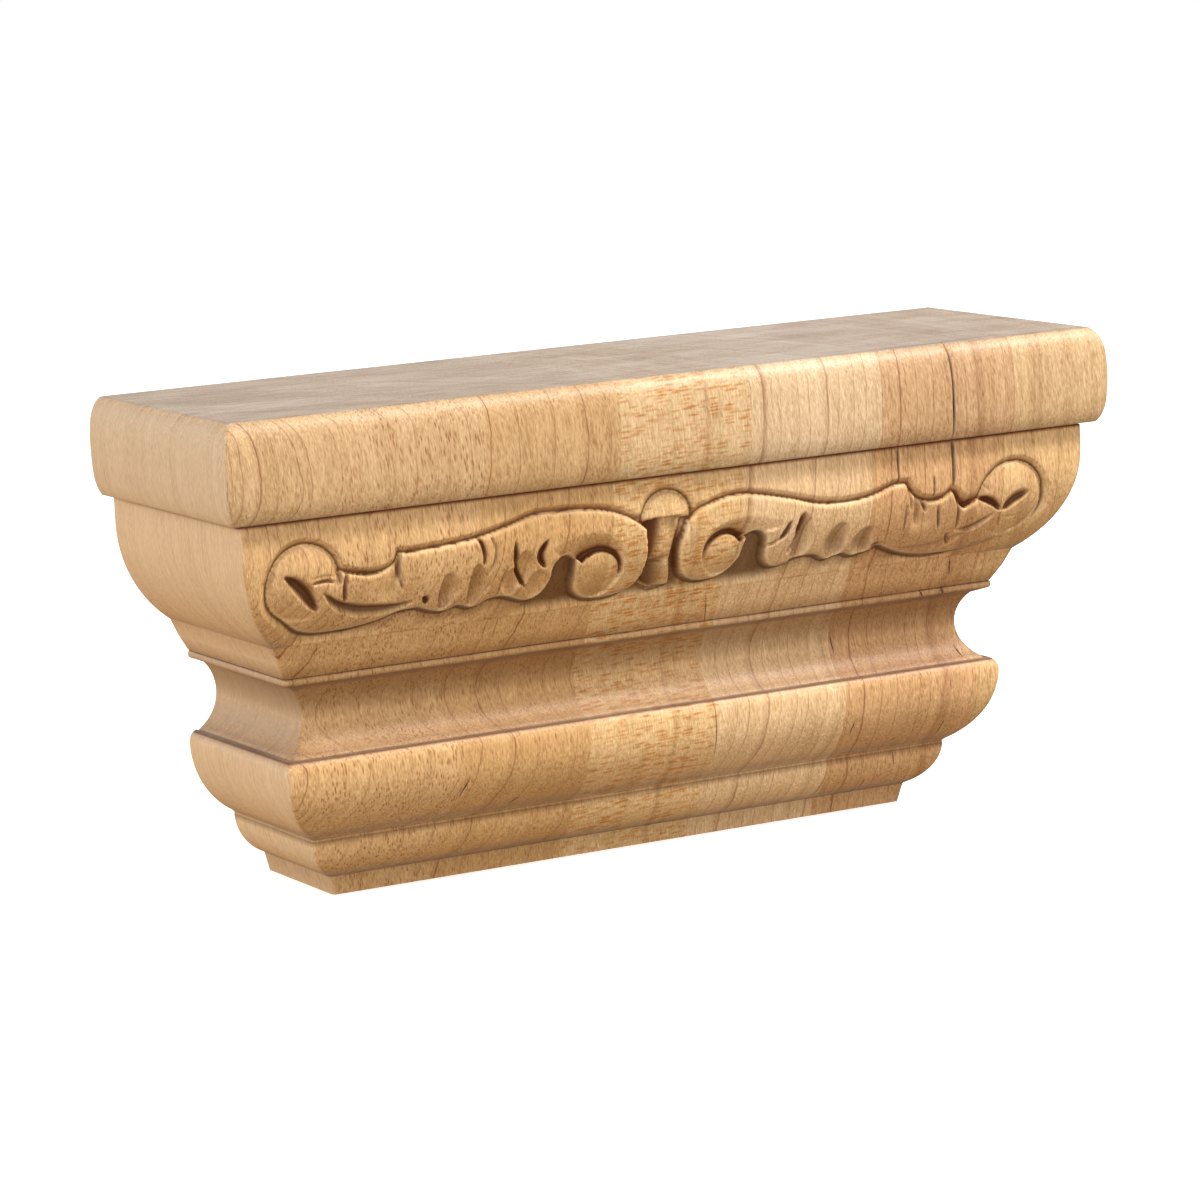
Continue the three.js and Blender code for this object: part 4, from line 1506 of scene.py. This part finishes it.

        # Painted shade: the more closed-in a place is, the darker and warmer it is made.
        hollow = nodes.add("Attribute", out="Fac", attribute_name="hollow")
        sunk = nodes.add("MapRange", {0: hollow, 1: 0.06, 2: 0.54, 4: 0.97}, interpolation_type="SMOOTHSTEP")
        groove = nodes.add("Attribute", out="Fac", attribute_name="groove")
        crest = nodes.add("Attribute", out="Fac", attribute_name="crest")
        split = nodes.add("Attribute", out="Fac", attribute_name="split")
        split = nodes.add("MapRange", {0: split, 1: 0.1, 2: 0.8, 4: 0.95})
        # The sawn back is one flat face and has no recesses.
        faced = nodes.add("MapRange", {0: normal[1], 1: 0.95, 2: 0.85})
        sunk = nodes.add("Math", {0: sunk, 1: faced}, operation="MULTIPLY")
        groove = nodes.add("Math", {0: groove, 1: faced}, operation="MULTIPLY")
        # The left end has a calmer figure than the front, and a paler, greyer tone is painted on it as a
        # sheen.
        side = nodes.add("MapRange", {0: normal[0], 1: -0.5, 2: -0.9})
        calm = nodes.add("Math", {0: side, 1: -0.5, 2: 1.0}, operation="MULTIPLY_ADD")
        line = nodes.add("Math", {0: line, 1: calm}, operation="MULTIPLY")
        # The slab is a little cooler in colour, and the sloping faces below it are painted a little darker
        # and warmer, partly as shade and partly for their more open grain.
        slab = nodes.add("MapRange", {0: axes[2], 1: self.slab_foot - 0.6, 2: self.slab_foot})
        slab = nodes.add("Math", {0: slab, 1: faced}, operation="MULTIPLY")
        sloped = nodes.add("MapRange", {0: level, 1: 0.25, 2: 0.9})
        sloped = nodes.add("Math", {0: sloped, 1: slab}, operation="SUBTRACT", use_clamp=True)
        # Each row: how a colour goes over the ones before it, what says where, how far at most, the colour.
        layers = (
            ("MIX", line, 0.95, linear(self.ring_colour)),
            ("MIX", fleck, 0.75, linear(self.fleck_colour)),
            ("MIX", ray, 0.78, linear(self.ray_colour)),
            ("MULTIPLY", slab, 1.0, linear(self.slab_colour)),
            # Painted shade on the sloping faces, partly also their more open grain.
            ("MULTIPLY", sloped, 0.42, linear(self.slope_shade_and_grain_colour)),
            # Painted sheen: the left end is made paler and greyer.
            ("MIX", side, 0.42, linear(self.left_end_sheen_colour)),
            ("MIX", end_grain, 0.74, linear(self.end_colour)),
            ("MULTIPLY", calm, 1.0, tint),
            # Painted shade in the recesses, partly also lacquer left there.
            ("MULTIPLY", sunk, 1.0, linear(self.recess_stain_and_shade_colour)),
            # Painted shade in the grooves, joints and scotia, partly also lacquer left in them.
            ("MIX", groove, 0.86, linear(self.groove_stain_and_shade_colour)),
            # Painted highlight on the arrises, paler also where sanding rubbed them.
            ("SCREEN", crest, 0.58, linear(self.crest_highlight_colour)),
            ("MIX", split, 1.0, linear(self.split_colour)),
        )
        for blend, where, most, over in layers:
            where = nodes.add("Math", {0: where, 1: most}, operation="MULTIPLY")
            colour = nodes.add("Mix", {0: where, 6: colour, 7: over}, 2, data_type="RGBA", blend_type=blend)

        # The pores, the flecks and the ring lines are felt as well as seen.
        relief = nodes.add("Math", {0: mottle, 1: 0.5, 2: 1.0}, operation="MULTIPLY_ADD")
        for mark, depth in ((fleck, -0.8), (line, -0.5)):
            relief = nodes.add("Math", {0: mark, 1: depth, 2: relief}, operation="MULTIPLY_ADD")
        bump = nodes.add("Bump", {"Strength": 0.25, "Distance": 0.0002, "Height": relief})
        rough = nodes.add("Math", {0: mottle, 1: 0.12, 2: self.roughness}, operation="MULTIPLY_ADD")
        rough = nodes.add("Math", {0: end_grain, 1: self.end_roughness, 2: rough}, operation="MULTIPLY_ADD")
        shader = nodes.add("BsdfPrincipled", {"Base Color": colour, "Roughness": rough, "IOR": 1.5,
                                              "Normal": bump, "Specular IOR Level": 0.35,
                                              "Coat Weight": 0.06, "Coat Roughness": 0.3})
        nodes.add("OutputMaterial", {0: shader})
        return material


@dataclass(frozen=True)
class Lamp:
    """A soft square lamp that faces the block. Its place and its side are in metres, its power in watts."""

    name: str
    place: tuple[float, float, float]
    side: float
    power: float
    colour: str

    def hang(self) -> None:
        """Hangs the lamp in the scene."""
        lamp = bpy.data.lights.new(self.name, "AREA")
        lamp.size, lamp.energy, lamp.color = self.side, self.power, linear(self.colour)[:3]
        holder = bpy.data.objects.new(self.name, lamp)
        holder.location = self.place
        aim = Vector((0, 0, 0.06)) - Vector(self.place)
        holder.rotation_euler = aim.to_track_quat("-Z", "Y").to_euler()
        bpy.context.scene.collection.objects.link(holder)


LAMPS = (
    Lamp("key, upper right", (1.1, -0.85, 1.65), 0.5, 46, "#fffcf9"),
    Lamp("front", (-0.35, -2.1, -0.35), 1.5, 20.5, "#fffdf8"),
    Lamp("left side", (-1.8, -0.35, 0.6), 1.2, 19.5, "#f2f6ff"),
)


@dataclass
class Studio:
    """The plain pale floor, the soft lights and the camera. The room's powers are those of the light from
    straight below, from the sides and above, and what the wall behind the block adds."""

    floor_half: float = 3.0
    low_power: float = 0.16
    room_power: float = 0.50
    wall_power: float = 0.95
    camera_place: tuple[float, float, float] = (-0.58669, -1.04483, 0.26538)
    azimuth: float = 29.075
    elevation: float = 9.470
    roll: float = -2.606
    lens: float = 141.94
    sensor: float = 36.0

    def floor(self) -> None:
        """Lays the plain pale floor."""
        bm = bmesh.new()
        bmesh.ops.create_grid(bm, x_segments=1, y_segments=1, size=self.floor_half)
        mesh = bpy.data.meshes.new("floor")
        bm.to_mesh(mesh)
        bm.free()
        floor = bpy.data.objects.new("floor", mesh)
        bpy.context.scene.collection.objects.link(floor)
        paper = bpy.data.materials.new("opal acrylic, matt, lit from below")
        paper.use_nodes = True
        shader = paper.node_tree.nodes["Principled BSDF"]
        shader.inputs["Base Color"].default_value = linear("#f7f6f4")
        shader.inputs["Roughness"].default_value = 0.9
        shader.inputs["Emission Color"].default_value = linear("#ffffff")
        shader.inputs["Emission Strength"].default_value = 0.6
        mesh.materials.append(paper)
        floor.visible_diffuse = False
        floor.visible_glossy = False
        floor.visible_shadow = False

    def lights(self) -> None:
        """Hangs the lamps and sets the even light of the room."""
        for lamp in LAMPS:
            lamp.hang()
        world = bpy.data.worlds.new("white room")
        bpy.context.scene.world = world
        world.use_nodes = True
        nodes = Graph(world.node_tree)
        nodes.tree.nodes.clear()
        way = nodes.add("TexCoord", out="Generated")
        axes = nodes.add("SeparateXYZ", {0: way}).node.outputs
        rise = nodes.add("MapRange", {0: axes[2], 1: -0.2, 2: 0.2})
        # The light from below is warm, as if wood had thrown it back, and the light from above is white.
        tint = nodes.add("Mix", {0: rise, 6: linear("#d8b080"), 7: linear("#f6f6f6")}, 2, data_type="RGBA")
        behind = nodes.add("MapRange", {0: axes[1], 1: 0.1, 2: 0.8})
        low = nodes.add("MapRange", {0: axes[2], 1: 0.75, 2: 0.1})
        wall = nodes.add("Math", {0: behind, 1: low}, operation="MULTIPLY")
        under = nodes.add("MapRange", {0: axes[2], 1: -0.8, 2: -0.2, 3: self.low_power, 4: self.room_power})
        power = nodes.add("Math", {0: wall, 1: self.wall_power, 2: under}, operation="MULTIPLY_ADD")
        room = nodes.add("Background", {0: tint, 1: power})
        seen = nodes.add("Background", {0: (1, 1, 1, 1), 1: 1.0})
        eye = nodes.add("LightPath", out="Is Camera Ray")
        both = nodes.add("MixShader", {0: eye, 1: room, 2: seen})
        nodes.add("OutputWorld", {0: both})

    def camera(self) -> None:
        """Sets the camera at the photograph's angle."""
        az, el, roll = (math.radians(a) for a in (self.azimuth, self.elevation, self.roll))
        ahead = Vector((math.sin(az) * math.cos(el), math.cos(az) * math.cos(el), -math.sin(el)))
        right = Vector((math.cos(az), -math.sin(az), 0))
        up = right.cross(ahead)
        across = right * math.cos(roll) + up * math.sin(roll)
        upward = up * math.cos(roll) - right * math.sin(roll)
        lens = bpy.data.cameras.new("camera")
        lens.lens, lens.sensor_width = self.lens, self.sensor
        lens.clip_start, lens.clip_end = 0.05, 20.0
        camera = bpy.data.objects.new("camera", lens)
        turn = Matrix((across, upward, -ahead)).transposed().to_4x4()
        camera.matrix_world = Matrix.Translation(self.camera_place) @ turn
        bpy.context.scene.collection.objects.link(camera)
        bpy.context.scene.camera = camera

    def build(self) -> None:
        """Sets up the whole studio."""
        self.camera()
        self.floor()
        self.lights()
        bpy.context.scene.view_settings.view_transform = "Standard"


def main() -> None:
    """Builds the studio and the block."""
    logging.basicConfig(level=logging.INFO, format="%(name)s: %(message)s")
    Studio().build()
    capital = Capital()
    block = capital.build()
    block.data.materials.append(LacqueredBeech(capital.width / 2, capital.slab_foot).make())
    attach(block, "root")
    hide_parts(NODE)
    log.info("carved block made")


if __name__ == "__main__":
    main()
